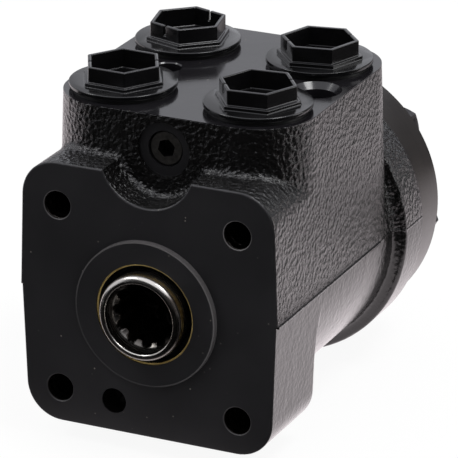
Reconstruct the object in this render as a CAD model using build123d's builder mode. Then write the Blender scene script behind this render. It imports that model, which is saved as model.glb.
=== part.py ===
from build123d import *
from math import atan, cos, degrees, hypot, pi, radians, sin, sqrt, tan
import os

# Hydraulic orbital steering unit, in millimetres.
# The shaft axis is the Y axis. y = 0 is the mounting face, which looks along -Y, and +Y runs to
# the rear cover. The four ports look along +Z and +X is to the right, seen from the shaft end.

# ---------------------------------------------------------------- mounting flange
BOLT_CIRCLE = 82.55
MOUNT_TAP_R = 4.25
MOUNT_TAP_DEPTH = 18.0
MOUNT_RIM_R = 4.6
FLANGE_TOP = 42.5
FLANGE_BOTTOM = -40.0
FLANGE_DEPTH = 31.0
FLANGE_CORNER_R = 11.5
LOCATING_HOLE_R = 4.0
LOCATING_HOLE_DEPTH = 8.0
LOCATING_HOLE_X = -11.2
LOCATING_HOLE_Z = -30.2
PILOT_R = 22.7
PILOT_HEIGHT = 1.8
NOTCH_R = 15.3
NOTCH_Z = 47.9

# ---------------------------------------------------------------- port block and barrel
BLOCK_TOP = 57.5
BLOCK_HALF_WIDTH = 40.0
BLOCK_FRONT = 12.0
BLOCK_REAR = 94.0
BLOCK_CORNER_R = 18.0
DRAFT_ANGLE = 2.0
PARTING_Z = 2.5
PARTING_STEP = 0.4
FLASH_REACH = 0.3
FLASH_THICK = 0.7
FLASH_FRONT = 1.0
BARREL_R = 41.4
RING_STEP = 4.0
RING_FRONT = 88.0
HOUSING_REAR = 101.2
CAST_FILLET_R = 2.5
LEDGE_LOW = 30.0
RING_ROUND = 1.0
FLANGE_REAR_ROUND = 2.0
FLANGE_FRONT_ROUND = 0.6
TOUCH = 0.05

# ---------------------------------------------------------------- ports and their plugs
PORT_X = 22.0
PORT_FRONT_Y = 29.8
PORT_REAR_Y = 73.9
PORT_BORE_R = 9.5
PORT_DEPTH = 16.0
PORT_CHAMFER = 0.8
FEED_R = 3.6
FEED_SHIFT = 4.6
GROOVE_R = 22.5
GROOVE_WIDTH = 5.0
PLUG_DISC_R = 16.27
PLUG_DISC_THICK = 1.5
PLUG_SEAL_THICK = 1.05
PLUG_SEAL_R = 15.1
PLUG_COLLAR_R = 13.3
PLUG_COLLAR_HEIGHT = 1.2
PLUG_HEX_R = 12.1
PLUG_HEX_HEIGHT = 5.85
PLUG_WALL = 1.3
PLUG_SHANK_LENGTH = 9.0
PLUG_FLOOR = 3.4
PLUG_SLIT = 0.7
PLUG_SLIT_DEPTH = 3.2
PLUG_SLIT_TURN = 30.0
PLUG_CLEARANCE = 0.3
SMALL_PORT_X = 30.8
SMALL_PORT_R = 5.9
SMALL_PORT_RIM_R = 7.7
SMALL_PORT_DEPTH = 13.0
BLOCK_TAP_X = -18.2
BLOCK_TAP_DEPTH = 15.0

# ---------------------------------------------------------------- main bore, seals and bearing
BORE_R = 19.03
BORE_FRONT = 10.5
SEAL_POCKET_R = 17.0
SEAL_POCKET_FRONT = 6.0
DUST_BORE_R = 15.8
DUST_BORE_REAR = 4.0
LAND_CLEARANCE = 0.3
BEARING_CLEARANCE = 0.08
RACE_THICK = 1.5
NEEDLE_R = 1.0
NEEDLE_LENGTH = 3.2
NEEDLE_COUNT = 16
CAGE_THICK = 1.3
SEAT_GAP = 0.02
SEAL_WALL = 1.2
SEAL_WEB = 1.4
SEAL_BODY_SHORT = 0.3
SEAL_LIP_THICK = 0.9
SEAL_LIP_FACE = 1.0
SEAL_LIP_EDGE = 1.6
SEAL_LIP_CLEAR = 1.0
DUST_CASE_SINK = 0.5
DUST_CASE_WALL = 0.5
DUST_LIP_DEPTH = 1.2
DUST_LIP_LENGTH = 0.6
DUST_LIP_THICK = 0.4
DUST_CASE_FLOOR = 1.0

# ---------------------------------------------------------------- spool and sleeve
SLEEVE_R = 19.0
SPOOL_R = 14.0
SPOOL_FIT = 0.03
SLEEVE_REAR_GAP = 0.4
NOSE_R = 13.4
NOSE_REACH = 6.0
NOSE_ROUND = 1.2
NOSE_BORE_R = 11.0
NOSE_BORE_DEPTH = 4.2
SPLINE_TEETH = 12
SPLINE_MINOR_R = 8.73
SPLINE_PITCH_R = 9.525
SPLINE_MAJOR_R = 10.6
SPLINE_FLANK_ANGLE = 30.0
SPLINE_DEPTH_Y = 17.0
SPLINE_OVERLAP = 0.6
SPOOL_CAVITY_R = 10.5
SPOOL_CAVITY_FRONT = 33.0
SPOOL_TURN = 8.0
SPOOL_GROOVE_LENGTH = 22.0
SPOOL_GROOVE_WIDTH = 3.0
SPOOL_GROOVE_DEPTH = 0.8
PIN_Y = 46.0
PIN_R = 4.0
PIN_LENGTH = 37.0
PIN_CLEARANCE = 0.2
SPRING_Y = 24.0
SPRING_WIDTH = 6.4
SPRING_LENGTH = 35.6
SPRING_SLOT = 5.6
LEAF_THICK = 0.4
LEAF_GAP = 0.05
LEAF_BOW = 1.3
KEEPER_DEPTH = 0.9
KEEPER_WIDTH = 8.0

# ---------------------------------------------------------------- gear set, plate and cover
GEAR_LOBES = 7
GEAR_TEETH = GEAR_LOBES - 1
ECCENTRICITY = 3.6
LOBE_R = 8.0
GEAR_CLEARANCE = 0.15
VALLEY_CLEARANCE = 0.5
ROTOR_SAMPLES = 20
RING_LIP = 1.8
BOLT_WALL = 4.15
PLATE_THICK = 3.5
RIM_WIDTH = 10.3
ROTOR_SIDE_GAP = 0.04
COVER_THICK = 6.5
COVER_STEP_Y = 2.4
COVER_STEP = 1.1
COVER_EDGE = 0.8
PLATE_BORE_R = 10.9
CHANNEL_R = 2.2
CHANNEL_CIRCLE_R = 25.5
CHANNEL_DEPTH = 43.0
CHANNEL_DRILL_R = 1.6
METER_DRILL_R = 1.2
O_RING_INSET = 2.6
O_RING_WIDTH = 1.9
O_GROOVE_DEPTH = 1.3
O_GROOVE_SIDE = 0.2
BOLT_R = 4.0
BOLT_HOLE_R = 4.25
BOLT_TAP_R = 4.05
BOLT_THREAD_LENGTH = 13.0
BOLT_TAP_DEPTH = 15.0
BOLT_HEAD_AF = 11.1
BOLT_HEAD_HEIGHT = 4.2
BOLT_HEAD_TURN = 13.0
WASHER_R = 6.4
WASHER_THICK = 0.9
VALVE_BOLT_INDEX = 3
VALVE_BOLT_HEAD_R = 5.8
VALVE_BOLT_SOCKET_AF = 5.0

# ---------------------------------------------------------------- cardan shaft and spacer
CARDAN_HEAD_R = 8.4
CARDAN_SHAFT_R = 6.0
CARDAN_FRONT = 7.0
CARDAN_HEAD_REAR = 9.0
CARDAN_SLOT_SIDE = 0.3
CARDAN_SPLINE_LENGTH = 6.2
CARDAN_HEAD_CHAMFER = 1.0
CARDAN_HEAD_CONE = 4.0
CARDAN_NECK = 1.5
CARDAN_CROWN = 0.5
SPLINE_PLAY = 0.35
SPACER_R = 8.3
SPACER_THICK = 2.2

# ---------------------------------------------------------------- valves
RELIEF_Z = 47.0
RELIEF_FACE_Y = 13.0
RELIEF_FACE_R = 8.4
RELIEF_BORE_R = 5.6
RELIEF_PLUG_SINK = 0.6
RELIEF_PLUG_LENGTH = 12.0
RELIEF_SOCKET_AF = 5.0
RELIEF_SOCKET_DEPTH = 4.5
RELIEF_SOCKET_TURN = 15.0
RELIEF_SEAT_Y = 54.0
RELIEF_SEAT_THICK = 4.0
RELIEF_SEAT_HOLE_R = 2.2
RELIEF_POPPET_LENGTH = 8.0
RELIEF_POPPET_R = 4.4
RELIEF_STEM_R = 2.8
RELIEF_NOSE_R = 2.0
RELIEF_NECK = 1.0
RELIEF_WIRE_R = 0.6
RELIEF_COIL_R = 3.6
RELIEF_TURNS = 6
RELIEF_FIT = 0.15
CHECK_BALL_R = 3.2
CHECK_BORE_R = 3.4
CHECK_SEAT_Y = 68.0
CHECK_SEAT_HOLE_R = 2.2
CHECK_TRAVEL = 3.0
CHECK_PIN_R = 1.5
CHECK_PIN_BORE_R = 0.8

# ---------------------------------------------------------------- stations worked out from these
MOUNT_OFFSET = BOLT_CIRCLE / 2 / sqrt(2)
RING_R = BARREL_R + RING_STEP
SET_R = RING_R - RING_LIP
COVER_STEP_R = SET_R - COVER_STEP
O_RING_R = SET_R - O_RING_INSET
LOBE_CIRCLE_R = SET_R - BOLT_WALL - BOLT_HOLE_R
PARTING_HALF_WIDTH = BLOCK_HALF_WIDTH + (BLOCK_TOP - PARTING_Z) * tan(radians(DRAFT_ANGLE))
PORT_MID_Y = (PORT_FRONT_Y + PORT_REAR_Y) / 2
BEARING_OUTER_R = BORE_R - BEARING_CLEARANCE
BEARING_INNER_R = NOSE_R + LAND_CLEARANCE
NEEDLE_Y = BORE_FRONT + RACE_THICK + SEAT_GAP + NEEDLE_R
INNER_RACE_Y = NEEDLE_Y + NEEDLE_R + SEAT_GAP
SLEEVE_FRONT = INNER_RACE_Y + RACE_THICK
SLEEVE_REAR = HOUSING_REAR - SLEEVE_REAR_GAP
PLATE_REAR = HOUSING_REAR + PLATE_THICK
RIM_REAR = PLATE_REAR + RIM_WIDTH
RIM_MID = (PLATE_REAR + RIM_REAR) / 2
COVER_REAR = RIM_REAR + COVER_THICK
WASHER_REAR = COVER_REAR + WASHER_THICK
BOLT_CIRCLE_R = LOBE_CIRCLE_R
LOBE_STEP = 360 / GEAR_LOBES
CARDAN_TILT = degrees(atan(ECCENTRICITY / (RIM_MID - PIN_Y)))
PLUG_BASE = BLOCK_TOP + PLUG_SEAL_THICK
RELIEF_POPPET_FRONT = RELIEF_SEAT_Y - RELIEF_POPPET_LENGTH
RELIEF_END_Y = PORT_REAR_Y - PORT_BORE_R / 2
METER_Y = HOUSING_REAR - CHANNEL_DEPTH + CHANNEL_R
FEED_DEPTH = BLOCK_TOP - sqrt(GROOVE_R**2 - (PORT_X - FEED_R) ** 2)
PORTS = {
    "front_left": (-PORT_X, PORT_FRONT_Y),
    "front_right": (PORT_X, PORT_FRONT_Y),
    "rear_left": (-PORT_X, PORT_REAR_Y),
    "rear_right": (PORT_X, PORT_REAR_Y),
}
PLUG_TURN = {"front_left": -2.4, "front_right": 6.4, "rear_left": 42.7, "rear_right": 11.6}


def across(y):
    """Plane across the shaft axis at station y, seen from the front: local x is X, local y is Z."""
    return Plane.XZ.offset(-y)


def gear_plane(y):
    """Plane across the axis, facing the rear: local x is Z and local y is X, so lobe 0 is on top."""
    return Plane(origin=(0, y, 0), x_dir=(0, 0, 1), z_dir=(0, 1, 0))


def radial_plane(y, x, z):
    """Plane through the point (x, y, z) whose normal points straight out from the shaft axis."""
    return Plane(origin=(x, y, z), x_dir=(0, 1, 0), z_dir=(x, 0, z))


def lobe_angle(index):
    """Angle of a gear rim lobe and of the bolt in it, from +X towards +Z; the first is on top."""
    return 90 - index * LOBE_STEP


def on_circle(radius, angle):
    """Point (x, z) on a circle about the shaft axis."""
    return (radius * cos(radians(angle)), radius * sin(radians(angle)))


def turned(mode, y_and_r):
    """Turn a closed outline of (y, radius) points about the shaft axis, in the part being built."""
    with BuildSketch(Plane.YZ) as section:
        with BuildLine():
            Polyline(*y_and_r, close=True)
        make_face()
    revolve(section.sketch, axis=Axis.Y, mode=mode)


def drill(plane, places, radius, depth):
    """Drill round holes of one size into a plane, against its normal, in the part being built."""
    with BuildSketch(plane) as holes:
        with Locations(*places):
            Circle(radius)
    extrude(holes.sketch, amount=-depth, mode=Mode.SUBTRACT)


def countersink(plane, places, radius, rim):
    """Open the mouths of drilled holes to a wider rim at 45 degrees."""
    with BuildSketch(plane) as mouths:
        with Locations(*places):
            Circle(rim)
    extrude(mouths.sketch, amount=radius - rim, taper=45, mode=Mode.SUBTRACT)


def lobe_place(radius, index):
    """Local point of lobe number index on a gear plane."""
    return on_circle(radius, index * LOBE_STEP)


def box_profile(y0, y1, r0, r1):
    """Corners of a plain ring section."""
    return [(y0, r0), (y0, r1), (y1, r1), (y1, r0)]


def write(name, part):
    """Label a finished piece and write its STEP file."""
    part.label = name
    os.makedirs("parts", exist_ok=True)
    export_step(part, "parts/" + name + ".step")


def flange_half_width(z):
    """Half width of the drafted casting at height z; it is widest at the parting plane."""
    if z >= PARTING_Z:
        return BLOCK_HALF_WIDTH + (BLOCK_TOP - z) * tan(radians(DRAFT_ANGLE))
    return PARTING_HALF_WIDTH - PARTING_STEP - (PARTING_Z - z) * tan(radians(DRAFT_ANGLE))


def spline_cut(plane, gap, r_low, r_high):
    """Sketch of the twelve straight-flank spline spaces, or teeth, between two radii."""
    half = pi * SPLINE_PITCH_R / SPLINE_TEETH / 2 + gap
    slope = tan(radians(SPLINE_FLANK_ANGLE))
    low = half + (SPLINE_PITCH_R - r_low) * slope
    high = half - (r_high - SPLINE_PITCH_R) * slope
    with BuildSketch(plane) as spaces:
        with PolarLocations(0, SPLINE_TEETH):
            Polygon((r_low, -low), (r_high, -high), (r_high, high), (r_low, low), align=None)
    return spaces.sketch


# ================================================================ housing
def build_housing():
    """Cast housing: square flange, port block, round barrel and rear ring, with every bore."""
    with BuildPart() as housing:
        # Flange, one square prism in front of the barrel, with a small step at the parting plane.
        with BuildSketch(across(0)) as outline:
            with BuildLine():
                Polyline(
                    (-flange_half_width(FLANGE_TOP), FLANGE_TOP),
                    (flange_half_width(FLANGE_TOP), FLANGE_TOP),
                    (PARTING_HALF_WIDTH, PARTING_Z),
                    (PARTING_HALF_WIDTH - PARTING_STEP, PARTING_Z),
                    (flange_half_width(FLANGE_BOTTOM), FLANGE_BOTTOM),
                    (-flange_half_width(FLANGE_BOTTOM), FLANGE_BOTTOM),
                    (PARTING_STEP - PARTING_HALF_WIDTH, PARTING_Z),
                    (-PARTING_HALF_WIDTH, PARTING_Z),
                    close=True,
                )
            make_face()
            heights = outline.vertices().group_by(Axis.Y)
            fillet(heights[0] + heights[-1], FLANGE_CORNER_R)
            # Round notch in the top edge, which lets a socket reach the relief valve plug.
            with Locations((0, NOTCH_Z)):
                Circle(NOTCH_R, mode=Mode.SUBTRACT)
        extrude(amount=-FLANGE_DEPTH)
        # Port block, drafted down to the parting plane.
        with BuildSketch(Plane.XY.offset(PARTING_Z)):
            spread = PARTING_HALF_WIDTH - BLOCK_HALF_WIDTH
            with Locations((0, (BLOCK_FRONT + BLOCK_REAR) / 2)):
                RectangleRounded(
                    2 * PARTING_HALF_WIDTH,
                    BLOCK_REAR - BLOCK_FRONT + 2 * spread,
                    BLOCK_CORNER_R + spread,
                )
        extrude(amount=BLOCK_TOP - PARTING_Z, taper=DRAFT_ANGLE)
        # Cast fillets: block to flange ledge, then barrel to flange and ring to barrel.
        fillet([edge for edge in housing.edges() if on_ledge(edge.center())], CAST_FILLET_R)
        turned(Mode.ADD, box_profile(FLANGE_DEPTH - CAST_FILLET_R, HOUSING_REAR, 0, BARREL_R))
        fillet(rim_edges(housing, FLANGE_DEPTH), CAST_FILLET_R)
        turned(Mode.ADD, box_profile(RING_FRONT, HOUSING_REAR, 0, RING_R))
        ring_edges = rim_edges(housing, RING_FRONT).sort_by(SortBy.RADIUS)
        fillet(ring_edges[:1], CAST_FILLET_R)
        ring_edges = rim_edges(housing, RING_FRONT).sort_by(SortBy.RADIUS)
        fillet(ring_edges[-1:], RING_ROUND)
        fillet([edge for edge in housing.edges() if on_flange_rear(edge)], FLANGE_REAR_ROUND)
        fillet(housing.faces().sort_by(Axis.Y)[0].outer_wire().edges(), FLANGE_FRONT_ROUND)
        # Flash left along the parting plane, on the flange sides and below the port block.
        flash_rear = BLOCK_REAR - BLOCK_CORNER_R
        with Locations((0, (FLASH_FRONT + flash_rear) / 2, PARTING_Z - FLASH_THICK / 2)):
            Box(2 * (PARTING_HALF_WIDTH + FLASH_REACH), flash_rear - FLASH_FRONT, FLASH_THICK)
        # Pilot ring on the mounting face.
        turned(Mode.ADD, box_profile(-PILOT_HEIGHT, SEAL_POCKET_FRONT, 0, PILOT_R))
        cut_shaft_bores()
        cut_ports()
        cut_front_holes()
        cut_relief_bore()
        cut_rear_holes()
        cut_check_bore()
    return housing.part


def on_ledge(middle):
    """True for the middle point of an edge between the port block and the flange's top ledge."""
    near = BLOCK_FRONT - BLOCK_TOP * tan(radians(DRAFT_ANGLE))
    return near < middle.Y < BLOCK_FRONT + BLOCK_CORNER_R and LEDGE_LOW < middle.Z <= FLANGE_TOP


def on_flange_rear(edge):
    """True for the straight and round edges of the flange's rear face below the barrel."""
    middle = edge.center()
    return abs(middle.Y - FLANGE_DEPTH) < TOUCH and edge.length < FLANGE_CORNER_R * 2 and middle.Z < 0


def rim_edges(part, y):
    """Edges of round shoulders about the shaft axis at station y, below the port block."""
    edges = part.edges().filter_by(GeomType.CIRCLE)
    edges = edges.filter_by(lambda edge: abs(edge.center().Y - y) < TOUCH)
    return edges.filter_by(lambda edge: edge.radius > BARREL_R - TOUCH and edge.center().Z < 0)


def cut_shaft_bores():
    """Main bore, seal pocket, land and dust seal bore, and a ring groove for each port."""
    turned(Mode.SUBTRACT, [
        (-PILOT_HEIGHT, 0),
        (-PILOT_HEIGHT, DUST_BORE_R),
        (DUST_BORE_REAR, DUST_BORE_R),
        (DUST_BORE_REAR, BEARING_INNER_R),
        (SEAL_POCKET_FRONT, BEARING_INNER_R),
        (SEAL_POCKET_FRONT, SEAL_POCKET_R),
        (BORE_FRONT, SEAL_POCKET_R),
        (BORE_FRONT, BORE_R),
        (HOUSING_REAR, BORE_R),
        (HOUSING_REAR, 0),
    ])
    for x, y in PORTS.values():
        middle = feed_y(x, y)
        turned(Mode.SUBTRACT, box_profile(
            middle - GROOVE_WIDTH / 2, middle + GROOVE_WIDTH / 2, 0, GROOVE_R))


def feed_y(x, y):
    """Station of a port's feed drilling: the right ports feed to the rear, the left to the front."""
    return y + FEED_SHIFT if x > 0 else y - FEED_SHIFT


def cut_ports():
    """Four ports with their feeds, the small port and the tapped hole, all in the port face."""
    port_face = Plane.XY.offset(BLOCK_TOP)
    drill(port_face, PORTS.values(), PORT_BORE_R, PORT_DEPTH)
    countersink(port_face, PORTS.values(), PORT_BORE_R, PORT_BORE_R + PORT_CHAMFER)
    for x, y in PORTS.values():
        inward = FEED_R if x < 0 else -FEED_R
        drill(port_face, [(x + inward, feed_y(x, y))], FEED_R, FEED_DEPTH)
    drill(port_face, [(SMALL_PORT_X, PORT_MID_Y)], SMALL_PORT_R, SMALL_PORT_DEPTH)
    countersink(port_face, [(SMALL_PORT_X, PORT_MID_Y)], SMALL_PORT_R, SMALL_PORT_RIM_R)
    drill(port_face, [(BLOCK_TAP_X, PORT_MID_Y)], MOUNT_TAP_R, BLOCK_TAP_DEPTH)
    countersink(port_face, [(BLOCK_TAP_X, PORT_MID_Y)], MOUNT_TAP_R, MOUNT_RIM_R)


def cut_front_holes():
    """Four mounting holes with countersunk rims, and the locating hole."""
    corners = [(i * MOUNT_OFFSET, j * MOUNT_OFFSET) for i in (-1, 1) for j in (-1, 1)]
    drill(across(0), corners, MOUNT_TAP_R, MOUNT_TAP_DEPTH)
    countersink(across(0), corners, MOUNT_TAP_R, MOUNT_RIM_R)
    drill(across(0), [(LOCATING_HOLE_X, LOCATING_HOLE_Z)], LOCATING_HOLE_R, LOCATING_HOLE_DEPTH)


def cut_relief_bore():
    """Relief valve: spot face, cartridge bore, the bore behind its seat and a cross drilling."""
    centre = [(0, RELIEF_Z)]
    seat_rear = RELIEF_SEAT_Y + RELIEF_SEAT_THICK
    drill(across(0), centre, RELIEF_FACE_R, RELIEF_FACE_Y)
    drill(across(RELIEF_FACE_Y), centre, RELIEF_BORE_R, seat_rear - RELIEF_FACE_Y)
    drill(across(seat_rear), centre, RELIEF_POPPET_R, RELIEF_END_Y - seat_rear)
    cross_y = RELIEF_END_Y - CHANNEL_R
    drill(Plane.YZ.offset(PORT_X), [(cross_y, RELIEF_Z)], CHANNEL_R, PORT_X)


def cut_rear_holes():
    """Tapped holes for the cover bolts, axial channels with radial drillings, O-ring groove."""
    rear_face = gear_plane(HOUSING_REAR)
    bolts = [lobe_place(BOLT_CIRCLE_R, index) for index in range(GEAR_LOBES)]
    channels = [lobe_place(CHANNEL_CIRCLE_R, index + 0.5) for index in range(GEAR_LOBES)]
    drill(rear_face, bolts, BOLT_TAP_R, BOLT_TAP_DEPTH)
    drill(rear_face, channels, CHANNEL_R, CHANNEL_DEPTH)
    for x, z in (on_circle(CHANNEL_CIRCLE_R, lobe_angle(index + 0.5)) for index in range(GEAR_LOBES)):
        drill(radial_plane(METER_Y, x, z), [(0, 0)], CHANNEL_DRILL_R, CHANNEL_CIRCLE_R)
    cut_o_groove(HOUSING_REAR - O_GROOVE_DEPTH, HOUSING_REAR)


def cut_check_bore():
    """Check valve bore below the valve bolt, down to its seat, with a drilling to the main bore."""
    place = [lobe_place(BOLT_CIRCLE_R, VALVE_BOLT_INDEX)]
    chamber_end = CHECK_SEAT_Y - 2 * CHECK_BORE_R
    drill(gear_plane(HOUSING_REAR), place, CHECK_BORE_R, HOUSING_REAR - CHECK_SEAT_Y)
    drill(gear_plane(HOUSING_REAR), place, CHECK_SEAT_HOLE_R, HOUSING_REAR - chamber_end)
    x, z = on_circle(BOLT_CIRCLE_R, lobe_angle(VALVE_BOLT_INDEX))
    drill(radial_plane(chamber_end + CHECK_BORE_R, x, z), [(0, 0)], CHANNEL_DRILL_R, BOLT_CIRCLE_R)


def cut_o_groove(y0, y1):
    """Ring groove for an O-ring, cut between two stations."""
    inner = O_RING_R - O_RING_WIDTH / 2 - O_GROOVE_SIDE
    outer = O_RING_R + O_RING_WIDTH / 2 + O_GROOVE_SIDE
    turned(Mode.SUBTRACT, box_profile(y0, y1, inner, outer))


# ================================================================ spool, sleeve and what they carry
def build_spool():
    """Hollow control spool; its nose carries the internal spline for the steering column."""
    spool_rear = SLEEVE_REAR
    shoulder = SLEEVE_FRONT
    with BuildPart() as spool:
        turned(Mode.ADD, [
            (-NOSE_REACH, SPLINE_MINOR_R),
            (-NOSE_REACH, NOSE_R),
            (shoulder, NOSE_R),
            (shoulder, SPOOL_R),
            (spool_rear, SPOOL_R),
            (spool_rear, SPOOL_CAVITY_R),
            (SPOOL_CAVITY_FRONT, SPOOL_CAVITY_R),
            (SPOOL_CAVITY_FRONT - SPOOL_CAVITY_R / 3, 0),
            (SPLINE_DEPTH_Y + 1, 0),
            (SPLINE_DEPTH_Y, SPLINE_MINOR_R),
        ])
        # Counterbore in front of the spline, and the rounded rim of the nose.
        turned(Mode.SUBTRACT, [
            (-NOSE_REACH, 0),
            (-NOSE_REACH, NOSE_BORE_R),
            (-NOSE_REACH + NOSE_BORE_DEPTH, NOSE_BORE_R),
            (-NOSE_REACH + NOSE_BORE_DEPTH + NOSE_BORE_R - SPLINE_MINOR_R, SPLINE_MINOR_R),
            (-NOSE_REACH + NOSE_BORE_DEPTH + NOSE_BORE_R - SPLINE_MINOR_R, 0),
        ])
        rim = spool.edges().filter_by(GeomType.CIRCLE).group_by(Axis.Y)[0]
        fillet(rim.sort_by(SortBy.RADIUS)[-1], NOSE_ROUND)
        rim = spool.edges().filter_by(GeomType.CIRCLE).group_by(Axis.Y)[0]
        fillet(rim.sort_by(SortBy.RADIUS)[0], NOSE_ROUND / 2)
        front = across(NOSE_BORE_DEPTH - NOSE_REACH)
        spaces = spline_cut(front, 0, SPLINE_MINOR_R - SPLINE_OVERLAP, SPLINE_MAJOR_R)
        extrude(spaces, amount=NOSE_BORE_DEPTH - NOSE_REACH - SPLINE_DEPTH_Y, mode=Mode.SUBTRACT)
        # Clearance holes for the cross pin: the spool turns a little about the sleeve.
        pin_hole_r = PIN_R + SPOOL_R * sin(radians(SPOOL_TURN)) + PIN_CLEARANCE
        drill(Plane.YZ.offset(SPOOL_R), [(PIN_Y, 0)], pin_hole_r, 2 * SPOOL_R)
        # Slot for the leaf springs through the solid web, fanned out by the spool's own turn.
        for turn in (-SPOOL_TURN, 0, SPOOL_TURN):
            with Locations(Location((0, SPRING_Y, 0), (0, turn, 0))):
                Box(2 * SPOOL_R + 1, SPRING_WIDTH + PIN_CLEARANCE, SPRING_SLOT, mode=Mode.SUBTRACT)
        # Long distributing grooves between the two rows of sleeve holes.
        for index in range(GEAR_TEETH):
            angle = (index + 0.5) * 360 / GEAR_TEETH
            x, z = on_circle(SPOOL_R, angle)
            with Locations(Location((x, METER_Y + SPOOL_GROOVE_LENGTH / 2, z), (0, -angle, 0))):
                Box(2 * SPOOL_GROOVE_DEPTH, SPOOL_GROOVE_LENGTH, SPOOL_GROOVE_WIDTH, mode=Mode.SUBTRACT)
    return spool.part


def build_sleeve():
    """Control sleeve round the spool, with its rows of drillings and the slots it drives."""
    inner = SPOOL_R + SPOOL_FIT
    keeper_y = SPRING_Y - KEEPER_WIDTH / 2
    with BuildPart() as sleeve:
        turned(Mode.ADD, box_profile(SLEEVE_FRONT, SLEEVE_REAR, inner, SLEEVE_R))
        # Seat of the ring that keeps the springs in.
        turned(Mode.SUBTRACT, box_profile(
            keeper_y, keeper_y + KEEPER_WIDTH, SLEEVE_R - KEEPER_DEPTH, SLEEVE_R + 1))
        # Cross pin hole and spring slot, right through.
        drill(Plane.YZ.offset(SLEEVE_R), [(PIN_Y, 0)], PIN_R + SPOOL_FIT, 2 * SLEEVE_R)
        with Locations((0, SPRING_Y, 0)):
            Box(2 * SLEEVE_R + 1, SPRING_WIDTH + PIN_CLEARANCE, SPRING_SLOT, mode=Mode.SUBTRACT)
        # Rows of radial drillings: supply, metering and return.
        rows = (
            (PORT_FRONT_Y + FEED_SHIFT, GEAR_TEETH, CHANNEL_DRILL_R, 1 / 2),
            (METER_Y, 2 * GEAR_TEETH, METER_DRILL_R, 1 / 2),
            (PORT_REAR_Y - FEED_SHIFT, GEAR_TEETH, CHANNEL_DRILL_R, 1 / 2),
            (PORT_REAR_Y + FEED_SHIFT, GEAR_TEETH, CHANNEL_DRILL_R, 0),
        )
        for y, count, radius, offset in rows:
            for index in range(count):
                x, z = on_circle(SLEEVE_R, (offset + index) * 360 / count)
                drill(radial_plane(y, x, z), [(0, 0)], radius, SLEEVE_R)
    return sleeve.part


def build_cross_pin():
    """Hardened pin through sleeve, spool and cardan fork."""
    with BuildPart() as pin:
        with BuildSketch(Plane.YZ.offset(-PIN_LENGTH / 2)):
            with Locations((PIN_Y, 0)):
                Circle(PIN_R)
        extrude(amount=PIN_LENGTH)
        chamfer(pin.edges().filter_by(GeomType.CIRCLE), PIN_R / 8)
    return pin.part


def build_springs():
    """Two flat and four bowed leaf springs in one slot, which centre the spool in the sleeve."""
    half = SPRING_LENGTH / 2
    step = LEAF_THICK + LEAF_GAP
    with BuildPart() as springs:
        for side in (1, -1):
            low = LEAF_GAP / 2
            with BuildSketch(across(SPRING_Y - SPRING_WIDTH / 2)):
                with Locations((0, side * (low + LEAF_THICK / 2))):
                    Rectangle(SPRING_LENGTH, LEAF_THICK)
                for leaf in (1, 2):
                    base = low + leaf * step
                    with BuildLine():
                        near = ThreePointArc(
                            (-half, side * (base + LEAF_BOW)),
                            (0, side * base),
                            (half, side * (base + LEAF_BOW)),
                        )
                        far = ThreePointArc(
                            (-half, side * (base + LEAF_BOW + LEAF_THICK)),
                            (0, side * (base + LEAF_THICK)),
                            (half, side * (base + LEAF_BOW + LEAF_THICK)),
                        )
                        Line(near @ 0, far @ 0)
                        Line(near @ 1, far @ 1)
                    make_face()
            extrude(amount=-SPRING_WIDTH)
    return springs.part


def build_ring(y0, y1, r0, r1):
    """Plain turned ring between two stations and two radii."""
    with BuildPart() as ring:
        turned(Mode.ADD, box_profile(y0, y1, r0, r1))
    return ring.part


def build_cage():
    """Needle cage of the thrust bearing, a flat ring with radial pockets."""
    middle = (BEARING_INNER_R + BEARING_OUTER_R) / 2
    with BuildPart() as cage:
        turned(Mode.ADD, box_profile(
            NEEDLE_Y - CAGE_THICK / 2, NEEDLE_Y + CAGE_THICK / 2,
            BEARING_INNER_R + BEARING_CLEARANCE, BEARING_OUTER_R - BEARING_CLEARANCE))
        with BuildSketch(across(NEEDLE_Y - NEEDLE_R)):
            with PolarLocations(middle, NEEDLE_COUNT):
                Rectangle(NEEDLE_LENGTH + PIN_CLEARANCE, 2 * NEEDLE_R + PIN_CLEARANCE)
        extrude(amount=-2 * NEEDLE_R, mode=Mode.SUBTRACT)
    return cage.part


def build_needles():
    """Radial needles, one in each pocket of the cage."""
    middle = (BEARING_INNER_R + BEARING_OUTER_R) / 2
    with BuildPart() as needles:
        for index in range(NEEDLE_COUNT):
            x, z = on_circle(1, index * 360 / NEEDLE_COUNT)
            start = middle - NEEDLE_LENGTH / 2
            outward = Plane(
                origin=(start * x, NEEDLE_Y, start * z), x_dir=(0, 1, 0), z_dir=(x, 0, z))
            with BuildSketch(outward):
                Circle(NEEDLE_R)
            extrude(amount=NEEDLE_LENGTH)
    return needles.part


def build_shaft_seal():
    """Lip seal in the pocket behind the land: an angled rubber section with its lip on the nose."""
    lip_r = NOSE_R + SEAT_GAP
    outer = SEAL_POCKET_R - SEAT_GAP
    web = SEAL_POCKET_FRONT + SEAL_WEB
    rear = BORE_FRONT - SEAL_BODY_SHORT
    with BuildPart() as seal:
        turned(Mode.ADD, [
            (SEAL_POCKET_FRONT, lip_r + SEAL_LIP_CLEAR),
            (SEAL_POCKET_FRONT, outer),
            (rear, outer),
            (rear, outer - SEAL_WALL),
            (web, outer - SEAL_WALL),
            (web, lip_r + SEAL_WALL),
            (BORE_FRONT - SEAL_LIP_FACE, lip_r + SEAL_LIP_THICK),
            (BORE_FRONT - SEAL_LIP_EDGE, lip_r),
        ])
    return seal.part


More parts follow.
